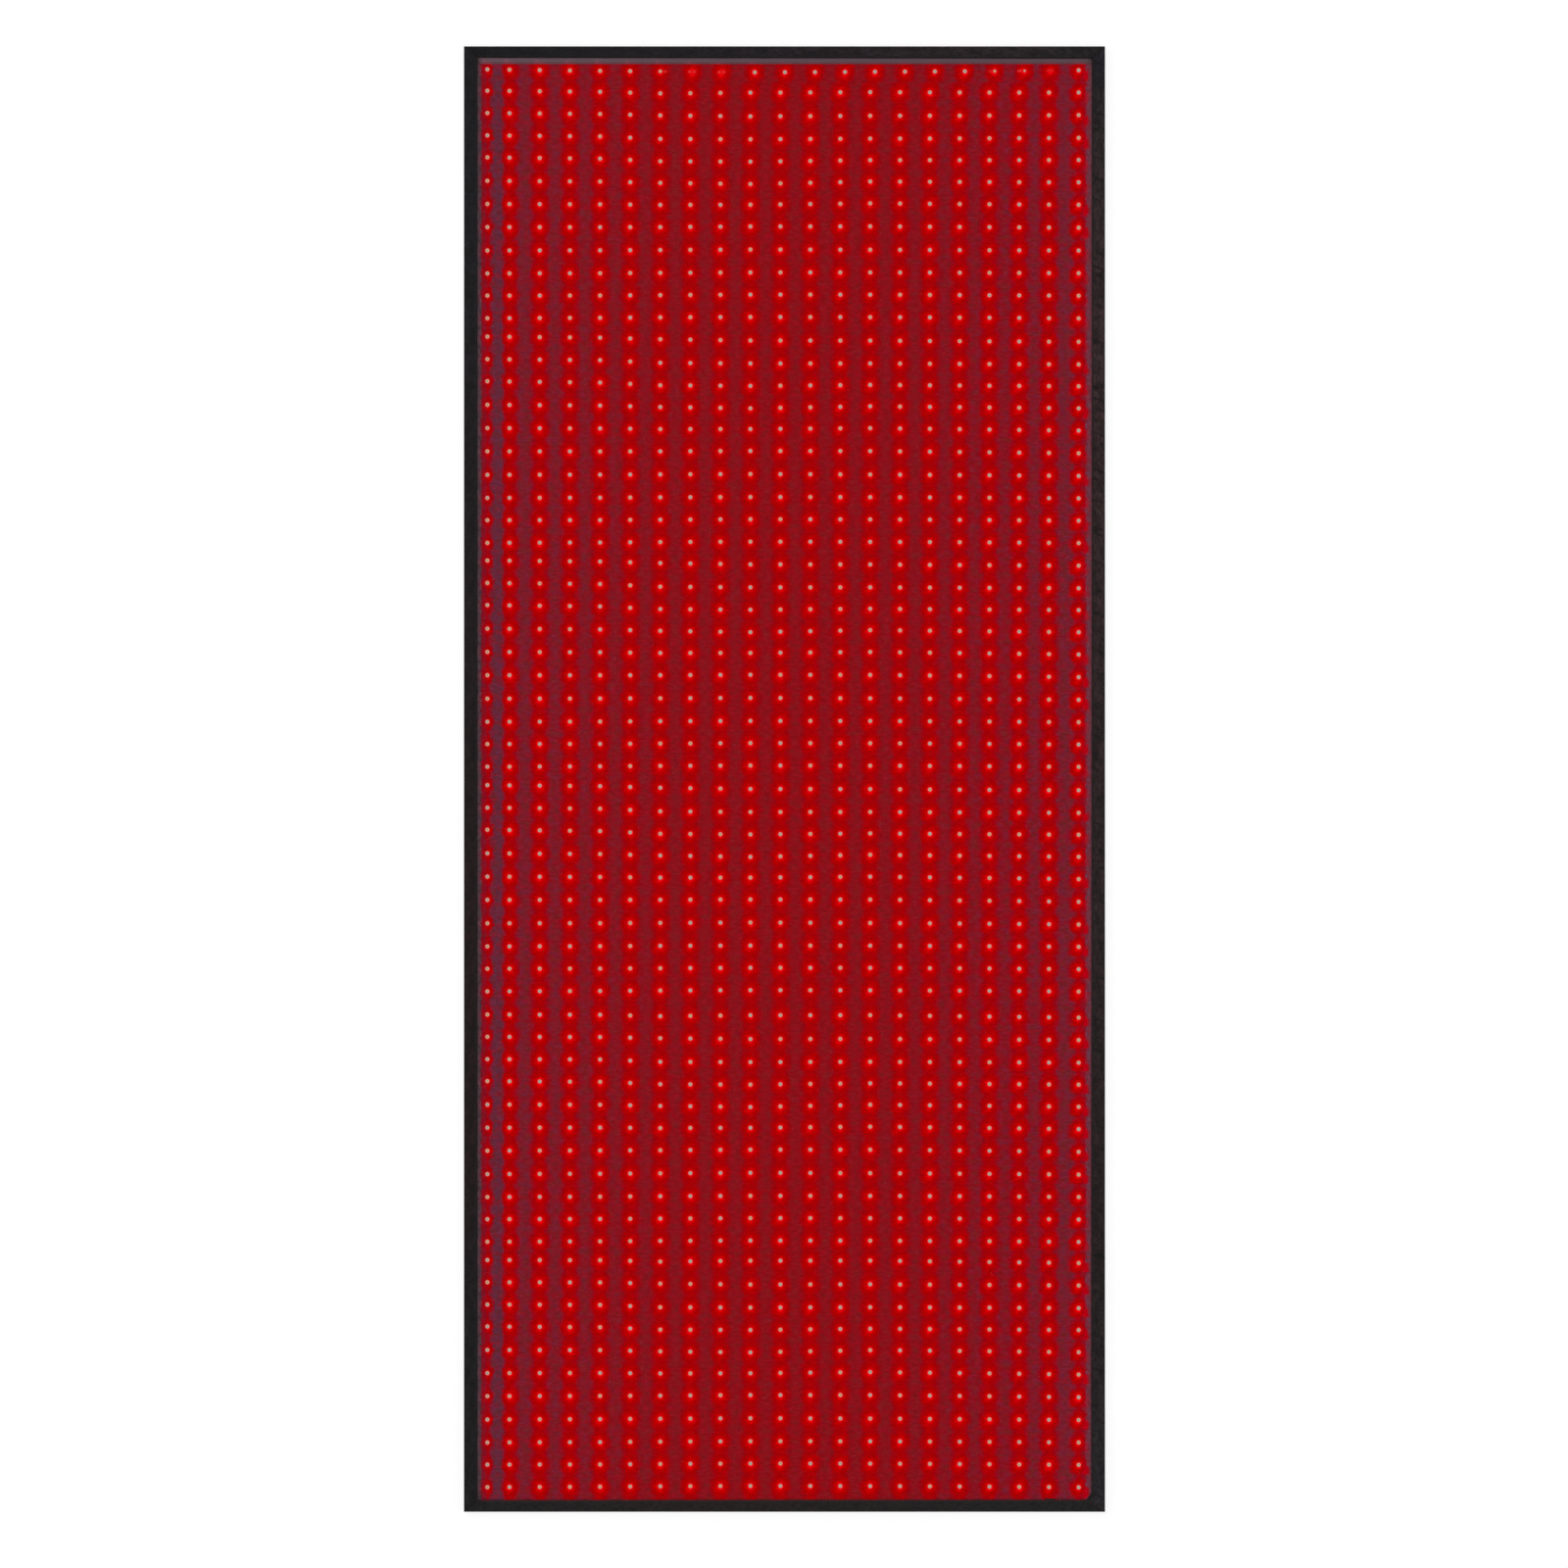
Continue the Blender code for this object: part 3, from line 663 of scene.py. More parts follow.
def right_glow(finish, x, burst):
    """The glow on the foam to the right of the boards: blotches of red, magenta and violet."""
    glow = srgb(124, 34, 48)
    for fineness, low, high, colour in RIGHT_BLOTCHES:
        share = finish.uv().noise(fineness, 2.0, 0.6).span(low, high, 0.0, 0.75)
        glow = share.mix(glow, srgb(*colour))
    fading = x.span(BOARD_RIGHT + 0.5 * MM, BOARD_RIGHT + 7.0 * MM, 1.0, 0.42)
    return fading.mix(BLACK, burst.mix(glow, BURST_COLOUR))


def lamp_lens():
    """A lit lamp: a grey-green middle, a pale pink ring, and red at its edge.

    A blurred lamp's offsets start far away, where there is only red light, with two pink lobes.
    """
    finish = Finish("lamp_lens", Base_Color=(0.02, 0.01, 0.008), Roughness=0.35, **GLOWING)
    offset = finish.uv("lamp").in_mm()
    radius = offset.length()
    tint = per_lamp(finish, 63.0).span(0.36, 0.64)
    core = tint.mix(srgb(160, 142, 106), srgb(138, 156, 138))
    ring = tint.mix(srgb(226, 178, 148), srgb(206, 174, 166))
    rim = (radius / 4.0).ramp((0.36, srgb(212, 160, 142)), (0.5, srgb(212, 96, 86)),
                              (0.68, srgb(218, 20, 20)), (1.0, srgb(224, 0, 10)))
    light = radius.span(1.4, 2.0).mix(radius.span(0.55, 1.5).mix(core, ring), rim)
    for lobe, strength in LOBES:
        away = offset.moved(-BLUR_OFFSET - lobe, 0.0).length()
        light = away.span(0.3, 2.3, strength, 0.0).mix(light, srgb(226, 62, 60))
    finish.drive(Emission_Color=light)
    return finish.relief(finish.uv().noise(2500.0), 0.05 * MM)


def clear_film():
    """Thin clear film: a faint haze and gloss over the lamps, with slight creases."""
    finish = Finish("clear_film", Roughness=0.25, Specular_IOR_Level=0.05, Alpha=0.06)
    haze = finish.uv().noise(30.0, 3.0)
    finish.drive(Base_Color=haze.mix(BLACK, (0.004, 0.002, 0.002)))
    return finish.relief(finish.uv().noise((60.0, 90.0), 4.0), 0.4 * MM)


# Each strip's leatherette: its tone at places along it, how much its blotches differ, the tone of
# its inner edge, which is painted shade on the left, right and head strips and painted red light
# on the foot strip, and the strength of the dark marks across it
LEATHERETTES = {
    "left": (((-0.6, (0.009, 0.0083, 0.0093)), (-0.42, (0.0125, 0.0062, 0.0064)),
              (-0.12, (0.0128, 0.0066, 0.0072)), (0.3, (0.0092, 0.0074, 0.0084)),
              (0.6, (0.0078, 0.0073, 0.0088))), 0.45, (0.0085, 0.0055, 0.0068), 0.0),
    "right": (((-0.765, (0.019, 0.0168, 0.0188)), (-0.52, (0.0178, 0.0105, 0.011)),
               (-0.1, (0.023, 0.0142, 0.0152)), (0.4, (0.034, 0.0178, 0.018)),
               (0.7, (0.0265, 0.018, 0.0192)), (0.78, (0.0136, 0.0118, 0.0155))),
              0.42, (0.016, 0.007, 0.008), 0.7),
    "head": (((-0.34, (0.0056, 0.0056, 0.007)), (-0.03, (0.0138, 0.0108, 0.0136)),
              (0.24, (0.0208, 0.0142, 0.0162)), (0.33, (0.0155, 0.0138, 0.0146))),
             0.42, (0.002, 0.0014, 0.0016), 0.3),
    "foot": (((-0.33, (0.0125, 0.0125, 0.0125)), (-0.1, (0.0158, 0.0118, 0.011)),
              (0.33, (0.0133, 0.0133, 0.0133))), 0.22, (0.04, 0.0145, 0.015), 0.0)}


def leatherette(strip):
    """Black leatherette: pebbled grain, wandering creases, blotches round a tone, and a painted
    line of shade along its inner edge, of red light on the foot strip.
    """
    tones, contrast, edge, marks = LEATHERETTES[strip]
    finish = Finish(f"leatherette_{strip}", Specular_IOR_Level=0.09)
    place = finish.uv()
    inward, along = place.axes()
    stops = [(0.5 + at / (2 * HALF_LENGTH), colour) for at, colour in tones]
    tone = (along * (1 / (2 * HALF_LENGTH)) + 0.5).ramp(*stops)
    large = place.noise((130.0, 60.0), 4.0, 0.65)
    tone = tone.times(large.ramp((0.36, 1.0 - contrast), (0.64, 1.0 + contrast)))
    slanted = finish.node("VectorRotate", {"Vector": place, "Angle": 0.35}, rotation_type="Z_AXIS")
    across = slanted.noise((40.0, 190.0), 2.0, 0.6)
    tone = across.span(0.56, 0.7, 0.0, marks).mix(tone, (0.004, 0.003, 0.0035))
    fine = place.noise((500.0, 160.0), 3.0)
    tone = fine.span(0.4, 0.72, 0.0, 0.6).mix(tone, (0.003, 0.002, 0.0025))
    # The inner edge gets its own tone: painted shade, and on the foot strip painted red light
    finish.drive(Base_Color=inward.span(0.2 * MM, 1.7 * MM, 0.9, 0.0).mix(tone, edge),
                 Roughness=large.span(0.2, 0.8, 0.38, 0.6))
    grain = finish.node("TexVoronoi", {"Vector": place, "Scale": 1100.0}, "Distance",
                        feature="DISTANCE_TO_EDGE", voronoi_dimensions="2D")
    creases = place.noise((90.0, 420.0), 4.0)
    return finish.relief(grain.span(0.0, 0.25) + creases * 4.0, 0.15 * MM)


def cover_cloth():
    """Black plain weave: threads along and across, over and under each other, with painted shade
    where they dip.
    """
    finish = Finish("cover_cloth", Roughness=0.8, Specular_IOR_Level=0.12, Sheen_Weight=0.05)
    waves = [(axis * math.pi).maths("SINE") for axis in finish.uv().stretched(900.0, 900.0).axes()]
    side = (waves[0] * waves[1]).span(-0.2, 0.2)
    height = abs(waves[0]) * side + abs(waves[1]) * (1.0 - side)
    # The weave's low parts, where threads dip under each other, are painted darker: painted shade
    # in its hollows
    cloth = height.mix((0.003, 0.003, 0.0035), (0.014, 0.014, 0.0155))
    worn = finish.uv().noise(25.0, 4.0, 0.6).span(0.45, 0.75, 0.0, 0.35)
    finish.drive(Base_Color=worn.mix(cloth, (0.022, 0.0215, 0.022)))
    return finish.relief(height, 0.25 * MM)


def thread():
    """Twisted black thread, with painted shade in the twist's grooves."""
    finish = Finish("black_thread", Roughness=0.6, Specular_IOR_Level=0.2)
    twist = finish.node("TexWave", {"Vector": finish.uv(), "Scale": 260.0, "Distortion": 1.0},
                        "Fac", wave_type="BANDS", bands_direction="DIAGONAL")
    # The twist's low bands are painted darker: painted shade in its grooves
    finish.drive(Base_Color=twist.mix((0.01, 0.008, 0.009), (0.032, 0.026, 0.029)))
    return finish.relief(twist, 0.1 * MM)


def moulded(name, dark, light, roughness):
    """Moulded plastic or drawn insulation with a fine orange-peel surface."""
    finish = Finish(name, Specular_IOR_Level=0.4)
    place = finish.node("TexCoord", output="Object")
    clouds = place.noise(160.0, 3.0, dimensions="3D")
    finish.drive(Base_Color=clouds.mix(dark, light),
                 Roughness=clouds.span(0.3, 0.7, roughness - 0.06, roughness + 0.06))
    return finish.relief(place.noise(2600.0, dimensions="3D"), 0.05 * MM)


def plated():
    """Nickel plate with fine drawing lines along the mat and a few dull spots."""
    finish = Finish("nickel_plate", Metallic=1.0)
    place = finish.node("TexCoord", output="Object")
    drawn = place.vector("MULTIPLY", (4000.0, 150.0, 4000.0)).noise(1.0, dimensions="3D")
    spots = place.noise(700.0, 3.0, dimensions="3D").span(0.5, 0.8)
    finish.drive(Base_Color=spots.mix((0.72, 0.69, 0.62), (0.5, 0.46, 0.38)),
                 Roughness=drawn.span(0.3, 0.7, 0.18, 0.36))
    return finish.relief(drawn, 0.02 * MM)


# ---------------------------------------------------------------- mesh building

def circle(sides, start=0.0):
    """The cosine and sine of so many even turns, the first of them this share of a step on."""
    turns = [2 * math.pi * (k + start) / sides for k in range(sides)]
    return [(math.cos(turn), math.sin(turn)) for turn in turns]


def put_in_scene(name, data):
    thing = bpy.data.objects.new(name, data)
    bpy.context.scene.collection.objects.link(thing)
    return thing


def build(name, points, faces, place, finish, smooth_angle=35.0, lamp=None):
    """An object whose "place" map has one (u, v) per point, and its "lamp" map one per corner."""
    mesh = bpy.data.meshes.new(name)
    mesh.from_pydata(points, [], faces)
    maps = {"place": [place[p] for face in faces for p in face], "lamp": lamp}
    for map_name, corners in maps.items():
        if corners:
            layer = mesh.uv_layers.new(name=map_name)
            layer.data.foreach_set("uv", [value for corner in corners for value in corner])
    mesh.shade_smooth()
    mesh.set_sharp_from_angle(angle=math.radians(smooth_angle))
    mesh.materials.append(finish)
    return put_in_scene(name, mesh)


def slab(name, xs, ys, top, base, finish, keep=lambda x, y: True, lamp_map=False):
    """A closed sheet over a grid of places, between two heights that may vary from place to place.

    keep says which cells of the grid are there. With lamp_map, every corner knows its own lamp.
    """
    cells = {(i, j): (x, y) for j, y in enumerate(middles(ys)) for i, x in enumerate(middles(xs))
             if keep(x, y)}
    points, index, faces, lamp = [], {}, [], []

    def point(i, j, height):
        if (i, j, height) not in index:
            index[i, j, height] = len(points)
            points.append((xs[i], ys[j], height(xs[i], ys[j])))
        return index[i, j, height]

    for (i, j), middle in cells.items():
        ring = ((i, j), (i + 1, j), (i + 1, j + 1), (i, j + 1))
        made = [[(*corner, top) for corner in ring], [(*corner, base) for corner in ring[::-1]]]
        for side, (di, dj) in enumerate(((0, -1), (1, 0), (0, 1), (-1, 0))):
            if (i + di, j + dj) not in cells:
                a, b = ring[side], ring[(side + 1) % 4]
                made.append([(*a, base), (*b, base), (*b, top), (*a, top)])
        x, y = nearest_lamp(*middle)
        for face in made:
            faces.append([point(*corner) for corner in face])
            lamp += [(points[p][0] - x, points[p][1] - y) for p in faces[-1]]
    return build(name, points, faces, [place[:2] for place in points], finish,
                 lamp=lamp if lamp_map else None)


def tube_faces(rings, sides):
    """The faces of a closed solid on the points of so many rings."""
    last = (rings - 1) * sides
    faces = [(low + k, low + (k + 1) % sides, low + sides + (k + 1) % sides, low + sides + k)
             for low in range(0, last, sides) for k in range(sides)]
    return faces + [tuple(range(sides))[::-1], tuple(range(last, last + sides))]


def tube(name, rings, maps, finish):
    """A closed solid through rings of points, with a list of (u, v) for each ring."""
    faces = tube_faces(len(rings), len(rings[0]))
    piece = build(name, sum(rings, []), faces, sum(maps, []), finish)
    building = bmesh.new()
    building.from_mesh(piece.data)
    bmesh.ops.recalc_face_normals(building, faces=building.faces)
    building.to_mesh(piece.data)
    building.free()
    return piece


def cut(piece, cutter):
    """Cuts another closed solid out of a piece for good, and removes the cutter."""
    change = piece.modifiers.new("cut", "BOOLEAN")
    change.operation = "DIFFERENCE"
    change.object = cutter
    held = bpy.context.evaluated_depsgraph_get()
    finished = bpy.data.meshes.new_from_object(piece.evaluated_get(held))
    piece.modifiers.clear()
    piece.data = finished
    bpy.data.objects.remove(cutter)


# ---------------------------------------------------------------- layers

LAYER_PLACES = spaced(LAYER_INSET - HALF_WIDTH, HALF_WIDTH - LAYER_INSET, COARSE_STEP)
HEIGHT_STEP = 0.1 * MM


def with_steps(places, *edges):
    """The places with a close pair added at each edge, where a height steps."""
    low, high = places[0], places[-1]
    extra = [edge + side * HEIGHT_STEP for edge in edges for side in (-0.5, 0.5)]
    extra = [place for place in extra if low < place < high]
    return sorted(extra + [place for place in places if place in (low, high)
                           or all(abs(place - other) > 2 * HEIGHT_STEP for other in extra)])


def make_cover(stretch, finish):
    """The back cover, resting on the floor and pressed thin where the binding wraps under it."""
    field_x = HALF_WIDTH - BINDING_SIDE_WIDTH - CLEARANCE
    field_y = HALF_LENGTH - BINDING_END_WIDTH - CLEARANCE
    xs = with_steps(LAYER_PLACES, -field_x, field_x)
    ys = with_steps(stretch.layer_lines(), -field_y, field_y)

    def base(x, y):
        if abs(x) > field_x or abs(y) > field_y:
            return COVER_RIM_BASE
        swell = 0.5 + 0.5 * ripple(x, y, 110 * MM, 3.0)
        edge = min(1.0, (field_x - abs(x)) / (20 * MM), (field_y - abs(y)) / (20 * MM))
        return COVER_SWELL * swell * max(0.0, edge)

    def top(x, y):
        return COVER_TOP + 0.08 * MM * ripple(x, y, 70 * MM, 8.0)

    piece = slab(f"back_cover_{stretch.name}_cloth", xs, ys, top, base, finish)
    xs[-1] - xs[0]
    ys[-1] - ys[0]
    stretch.hold(piece, "cover_fabric", stretch.nodes("back_cover"))


def make_pad(stretch, finish):
    """The foam pad, with the groove for the leads and the pocket for the socket."""
    groove = (SOCKET_X - GROOVE_HALF_WIDTH, SOCKET_X + GROOVE_HALF_WIDTH)
    pocket = (SOCKET_X - SOCKET_POCKET_HALF_WIDTH, SOCKET_X + SOCKET_POCKET_HALF_WIDTH)
    pocket_end = SOCKET_REAR + CLEARANCE
    xs = [x for x in LAYER_PLACES if not pocket[0] - MM < x < pocket[1] + MM]
    xs = with_steps(sorted([*xs, *pocket, BOARD_LEFT, BOARD_RIGHT]), *groove)
    lines = stretch.layer_lines()
    borders = [y for y in ROW_BORDERS if abs(y - stretch.fold) > stretch.bend + MM]
    ys = sorted({*lines, *[y for y in (*borders, pocket_end) if lines[0] < y < lines[-1]]})
    ys = with_steps([y for k, y in enumerate(ys) if k == 0 or y - ys[k - 1] > 0.05 * MM],
                    GROOVE_END)

    def top(x, y):
        if groove[0] < x < groove[1] and y < GROOVE_END:
            return GROOVE_BASE
        return PAD_TOP + 0.1 * MM * ripple(x, y, 45 * MM, 1.0)

    def base(x, y):
        return PAD_BASE + 0.08 * MM * ripple(x, y, 60 * MM, 5.0)

    def keep(x, y):
        return not (pocket[0] < x < pocket[1] and y < pocket_end)

    piece = slab(f"foam_pad_{stretch.name}_foam", xs, ys, top, base, finish, keep, lamp_map=True)
    stretch.hold(piece, "foam", stretch.nodes("foam_pad"))


def make_film(stretch, finish):
    """The clear film, drawn over the lamps with faint waves."""
    xs, ys = LAYER_PLACES, stretch.layer_lines()

    def wave(x, y):
        return 0.11 * MM * ripple(x, y, 50 * MM, 12.0) + 0.06 * MM * ripple(x, y, 18 * MM, 4.0)

    piece = slab(f"clear_film_{stretch.name}_sheet", xs, ys, lambda x, y: FILM_TOP + wave(x, y),
                 lambda x, y: FILM_BASE + wave(x, y), finish)
    xs[-1] - xs[0]
    ys[-1] - ys[0]
    stretch.hold(piece, "clear_film", stretch.nodes("clear_film"))


def make_board(stretch, number, lacquer, lens):
    """One lamp board, lit by its lamps, and its lamps: the boards all but touch each other."""
    foot, head = BOARDS[number - 1]
    if number > 1:
        head += (BOARDS[number - 2][0] - head - BOARD_SLIT) / 2
    if number < len(BOARDS):
        foot -= (foot - BOARDS[number][1] - BOARD_SLIT) / 2
    xs = [BOARD_LEFT, *COLUMN_BORDERS, BOARD_RIGHT]
    inside = [y for y in (*ROW_BORDERS, *stretch.lines(foot, head, head - foot)) if foot < y < head]
    board = slab(f"lamp_board_{number}_circuit", xs, sorted([foot, head, *inside]),
                 lambda x, y: BOARD_TOP, lambda x, y: BOARD_BASE, lacquer, lamp_map=True)
    for piece in (board, make_lamps(number, lens)):
        stretch.hold(piece, "lamp_board", [f"lamp_board_{number}"])


def lamp_shape():
    """A lamp's points, on rings round it, then at its tip and its base's middle, and its faces.

    It is a low rim with a domed lens on it.
    """
    dome, lens = LAMP_TOP - BOARD_TOP - LAMP_RIM_HEIGHT, LAMP_RADIUS * 0.9
    rings = [(LAMP_RADIUS, 0.0), (LAMP_RADIUS, LAMP_RIM_HEIGHT * 0.8),
             (LAMP_RADIUS * 0.95, LAMP_RIM_HEIGHT), (lens, LAMP_RIM_HEIGHT)]
    rings += [(lens * math.cos(turn), LAMP_RIM_HEIGHT + dome * math.sin(turn))
              for turn in (0.14 * math.pi, 0.275 * math.pi, 0.4 * math.pi)]
    points = [(radius * across, radius * along, height)
              for radius, height in rings for across, along in circle(LAMP_SIDES)]
    tip, faces = len(points), []
    last = tip - LAMP_SIDES
    for k in range(LAMP_SIDES):
        after = (k + 1) % LAMP_SIDES
        faces += [(low + k, low + after, low + LAMP_SIDES + after, low + LAMP_SIDES + k)
                  for low in range(0, last, LAMP_SIDES)]
        faces += [(last + k, last + after, tip), (after, k, tip + 1)]
    return [*points, (0.0, 0.0, LAMP_TOP - BOARD_TOP), (0.0, 0.0, 0.0)], faces


def make_lamps(number, finish):
    """All the lamps of one board, as one object."""
    shape, made = lamp_shape()
    points, faces, offsets = [], [], []
    lamps = [(board == row == 0, column, place) for (board, row, _), places in zip(ROWS, LAMPS)
             if board == number - 1 for column, place in enumerate(places)]
    for top_row, column, (x, y) in lamps:
        (wide, long), away, spread = (1.0, 1.0), 0.0, 1.0
        if top_row:
            spread = FAINT_COLUMNS.get(column, 1.0)
            if column in BLURRED_COLUMNS:
                wide, long = BLUR_STRETCH
                away = BLUR_OFFSET * MM * (1 if column in LOBED_COLUMNS else 2)
        faces += [[len(points) + k for k in face] for face in made]
        points += [(x + wide * dx, y + long * dy, BOARD_TOP + dz) for dx, dy, dz in shape]
        offsets += [(away + spread * wide * dx, spread * long * dy) for dx, dy, _ in shape]
    return build(f"lamps_{number}", points, faces, [place[:2] for place in points], finish,
                 smooth_angle=50.0, lamp=[offsets[p] for face in faces for p in face])


# ---------------------------------------------------------------- binding and stitching

def side_width(side, y):
    """The width of a side strip's upper leg."""
    share = min(1.0, max(0.0, (y - SIDE_CHANGE[0]) / (SIDE_CHANGE[1] - SIDE_CHANGE[0])))
    if side < 0:
        return BINDING_SIDE_WIDTH + between(*LEFT_TRIM, share)
    tuck = max(0.0, 1 - (y + HALF_LENGTH) / TUCK_LENGTH)
    return BINDING_SIDE_WIDTH + between(*RIGHT_TRIM, share) + tuck * TUCK_WIDTH


def end_width(end, x):
    """The width of an end strip's upper leg."""
    share = (x + HALF_WIDTH) / (2 * HALF_WIDTH)
    return BINDING_END_WIDTH + between(*(HEAD_TRIM if end > 0 else FOOT_TRIM), share)


def rounded(radius, centre_height, turn):
    """The inset and height of a place on the strip's rounding."""
    angle = 2 * math.pi * turn
    return radius * (1 + math.cos(angle)), centre_height + radius * math.sin(angle)


def binding_path(width, under_width):
    """The strip's outer face from its top edge round to its bottom edge, as (inset, height, turn).

    turn is the way that the face looks, from straight up at a quarter turn to straight down.
    """
    def arc(centre_height, turns):
        return [(*rounded(BINDING_RADIUS, centre_height, turn), turn) for turn in turns[1:-1]]

    upper_centre = BINDING_TOP - BINDING_RADIUS
    wall = spaced(upper_centre, BINDING_RADIUS, -2.5 * MM)
    return [*((inset, BINDING_TOP, 0.25) for inset in flat_places(width)),
            *arc(upper_centre, steps(0.25, 0.5, 6)), *((0.0, height, 0.5) for height in wall),
            *arc(BINDING_RADIUS, steps(0.5, 0.75, 6)),
            *((inset, 0.0, 0.75) for inset in reversed(flat_places(under_width)))]


def flat_places(width):
    """Insets along the flat leg, from its rounded edge: close together at the stitches' groove."""
    stitch = width - STITCH_INSET
    near = [stitch + share * STITCH_GROOVE_REACH for share in (1.0, 0.5, 0.0, -0.5, -1.0)]
    return [width - BINDING_ROUNDING, *near, *steps(stitch - 2.2 * MM, BINDING_RADIUS, 4)]


def groove_depth(inset, width, along):
    """How far the stitches pull the leatherette down, deepest on their line."""
    away = abs(inset - (width - STITCH_INSET)) / STITCH_GROOVE_REACH
    pulled = 0.75 + 0.25 * math.cos(2 * math.pi * along / STITCH_PITCH)
    return STITCH_GROOVE * max(0.0, 1 - away) ** 1.5 * pulled


class Creases:
    """Short pulls across a strip: each has a place, a depth, a half width and a slant."""

    def __init__(self, seed, count, reach, depth, named=()):
        draw = random.Random(seed)
        self.folds = list(named)
        for _ in range(count):
            self.folds.append((draw.uniform(-reach, reach), draw.uniform(0.3, 1.0) * depth,
                               draw.uniform(1.6, 5.0) * MM, draw.uniform(-0.6, 0.6)))

    def depth(self, inset, along):
        total = 0.0
        for place, depth, half, slant in self.folds:
            away = (along - place - slant * inset) / half
            if abs(away) < 3:
                total += depth * math.exp(-away * away)
        return total


def strip_ring(width, under_width, along, creases, seed):
    """One ring round the strip's section at a place along it, as (inset, height, map's u)."""
    ring, travelled, last = [], 0.0, None
    for inset, height, turn in binding_path(width, under_width):
        above = turn < 0.5
        # Waves of two sizes and the creases push the surface in, never out, and least at the edge
        lift = 0.1 * MM * ripple(inset + turn, along, 9 * MM, seed)
        lift += 0.12 * MM * ripple(turn, along, 45 * MM, seed + 5)
        sink = creases.depth(inset, along) * (1.0 if above else 0.5)
        calm = min(1.0, 0.15 + 5 * abs(turn - 0.5))
        push = calm * (min(0.0, lift - 0.15 * MM) - min(sink, DEEPEST_CREASE))
        push -= groove_depth(inset, width if above else under_width, along)
        angle = 2 * math.pi * turn
        travelled += math.dist(last or (inset, height), (inset, height))
        last = (inset, height)
        ring.append((inset + push * math.cos(angle), max(0.0, height + push * math.sin(angle)),
                     travelled))
    thick = BINDING_THICKNESS
    inner_radius = BINDING_RADIUS - thick
    rounding = BINDING_ROUNDING
    bevel = 0.12 * MM + rounding
    top, under = BINDING_TOP, BINDING_TOP - thick
    arc = [rounded(inner_radius, BINDING_RADIUS, turn) for turn in (0.75, 0.625, 0.5)]
    wall = [(thick + inset, height) for inset, height in arc]
    wall += [(inset, BINDING_TOP - height) for inset, height in reversed(wall)]
    inside = [(under_width, rounding), (under_width, thick - rounding),
              (under_width - bevel, thick), (under_width / 2, thick), *wall, (width / 2, under),
              (width - bevel, under), (width, under + rounding), (width, top - rounding)]
    for inset, height in inside:
        travelled += 1.0 * MM
        ring.append((inset, height, travelled))
    return ring


def make_strip(name, places, reach, width, met, under, put, looks):
    """A binding strip through places along it, mitred near its reach, where it meets others.

    width and met give the widths of the upper legs, its own and the met strip's, and under holds
    those of the lower legs. put turns a place and an inset into x and y.
    """
    finish, creases, seed = looks
    rings, maps = [], []
    for along in places:
        corner = math.copysign(reach, along)
        upper, lower = met(corner) / width(corner), under[1] / under[0]
        share = max(0.0, 1 - (reach - abs(along)) / MITRE_LENGTH)
        strip = strip_ring(width(along), under[0], along, creases, seed)
        ring = []
        for inset, height, _ in strip:
            ratio = upper if height > BINDING_TOP / 2 else lower
            back = (inset * ratio + MITRE_GAP) * share
            ring.append((*put(along - math.copysign(back, along), inset), height))
        rings.append(ring)
        maps.append([(travelled, along) for _, _, travelled in strip])
    return tube(name, rings, maps, finish)


def make_side_strip(stretch, side, name, looks):
    """The strip down one long side of a stretch."""
    places = stretch.lines(stretch.low, stretch.high, STRIP_STEP)
    piece = make_strip(
        f"binding_{name}_{stretch.name}_strip", places, HALF_LENGTH,
        lambda y: side_width(side, y), lambda y: end_width(y, side * HALF_WIDTH),
        (BINDING_SIDE_WIDTH, BINDING_END_WIDTH), lambda y, inset: (side * (HALF_WIDTH - inset), y),
        looks)
    stretch.hold(piece, "binding_leatherette", stretch.nodes(f"binding_{name}"))


def make_end_strip(end, name, looks):
    """The strip across one end, which has a hole for the socket at the foot."""
    piece = make_strip(
        f"binding_{name}_strip", spaced(-HALF_WIDTH, HALF_WIDTH, STRIP_STEP), HALF_WIDTH,
        lambda x: end_width(end, x), lambda x: side_width(x, end * HALF_LENGTH),
        (BINDING_END_WIDTH, BINDING_SIDE_WIDTH), lambda x, inset: (x, end * (HALF_LENGTH - inset)),
        looks)
    if end < 0:
        cut(piece, hole_cutter(looks[0]))
    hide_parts(f"binding_{name}_end")
    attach(piece, f"{name}_section")


def hole_cutter(finish):
    """A round bar through the foot binding where the socket's nose shows."""
    rings = [[(SOCKET_X + SOCKET_HOLE_RADIUS * across, y - HALF_LENGTH,
               SOCKET_AXIS_HEIGHT + SOCKET_HOLE_RADIUS * up)
              for across, up in circle(SOCKET_HOLE_SIDES)] for y in (-3.0 * MM, 2.2 * MM)]
    maps = [[(r * MM, k * MM) for k in range(SOCKET_HOLE_SIDES)] for r in range(2)]
    return tube("socket_hole_cutter", rings, maps, finish)


def stitch(points, faces, middle, along, way, lean):
    """One stitch: a short round thread whose ends dip into the leatherette."""
    made = tube_faces(len(STITCH_SECTIONS), THREAD_SIDES)
    faces += [[len(points) + k for k in face] for face in made]
    direction = Vector((along[0] + lean * along[1], along[1] - lean * along[0], 0)).normalized()
    across = Vector((-direction.y, direction.x, 0))
    for share, dip, size in STITCH_SECTIONS:
        centre = Vector(middle) + direction * share * STITCH_LENGTH
        centre.z += dip * THREAD_RADIUS * way
        for beside, up in circle(THREAD_SIDES):
            offset = across * beside + Vector((0, 0, 1)) * up
            points.append(tuple(centre + offset * THREAD_RADIUS * size))


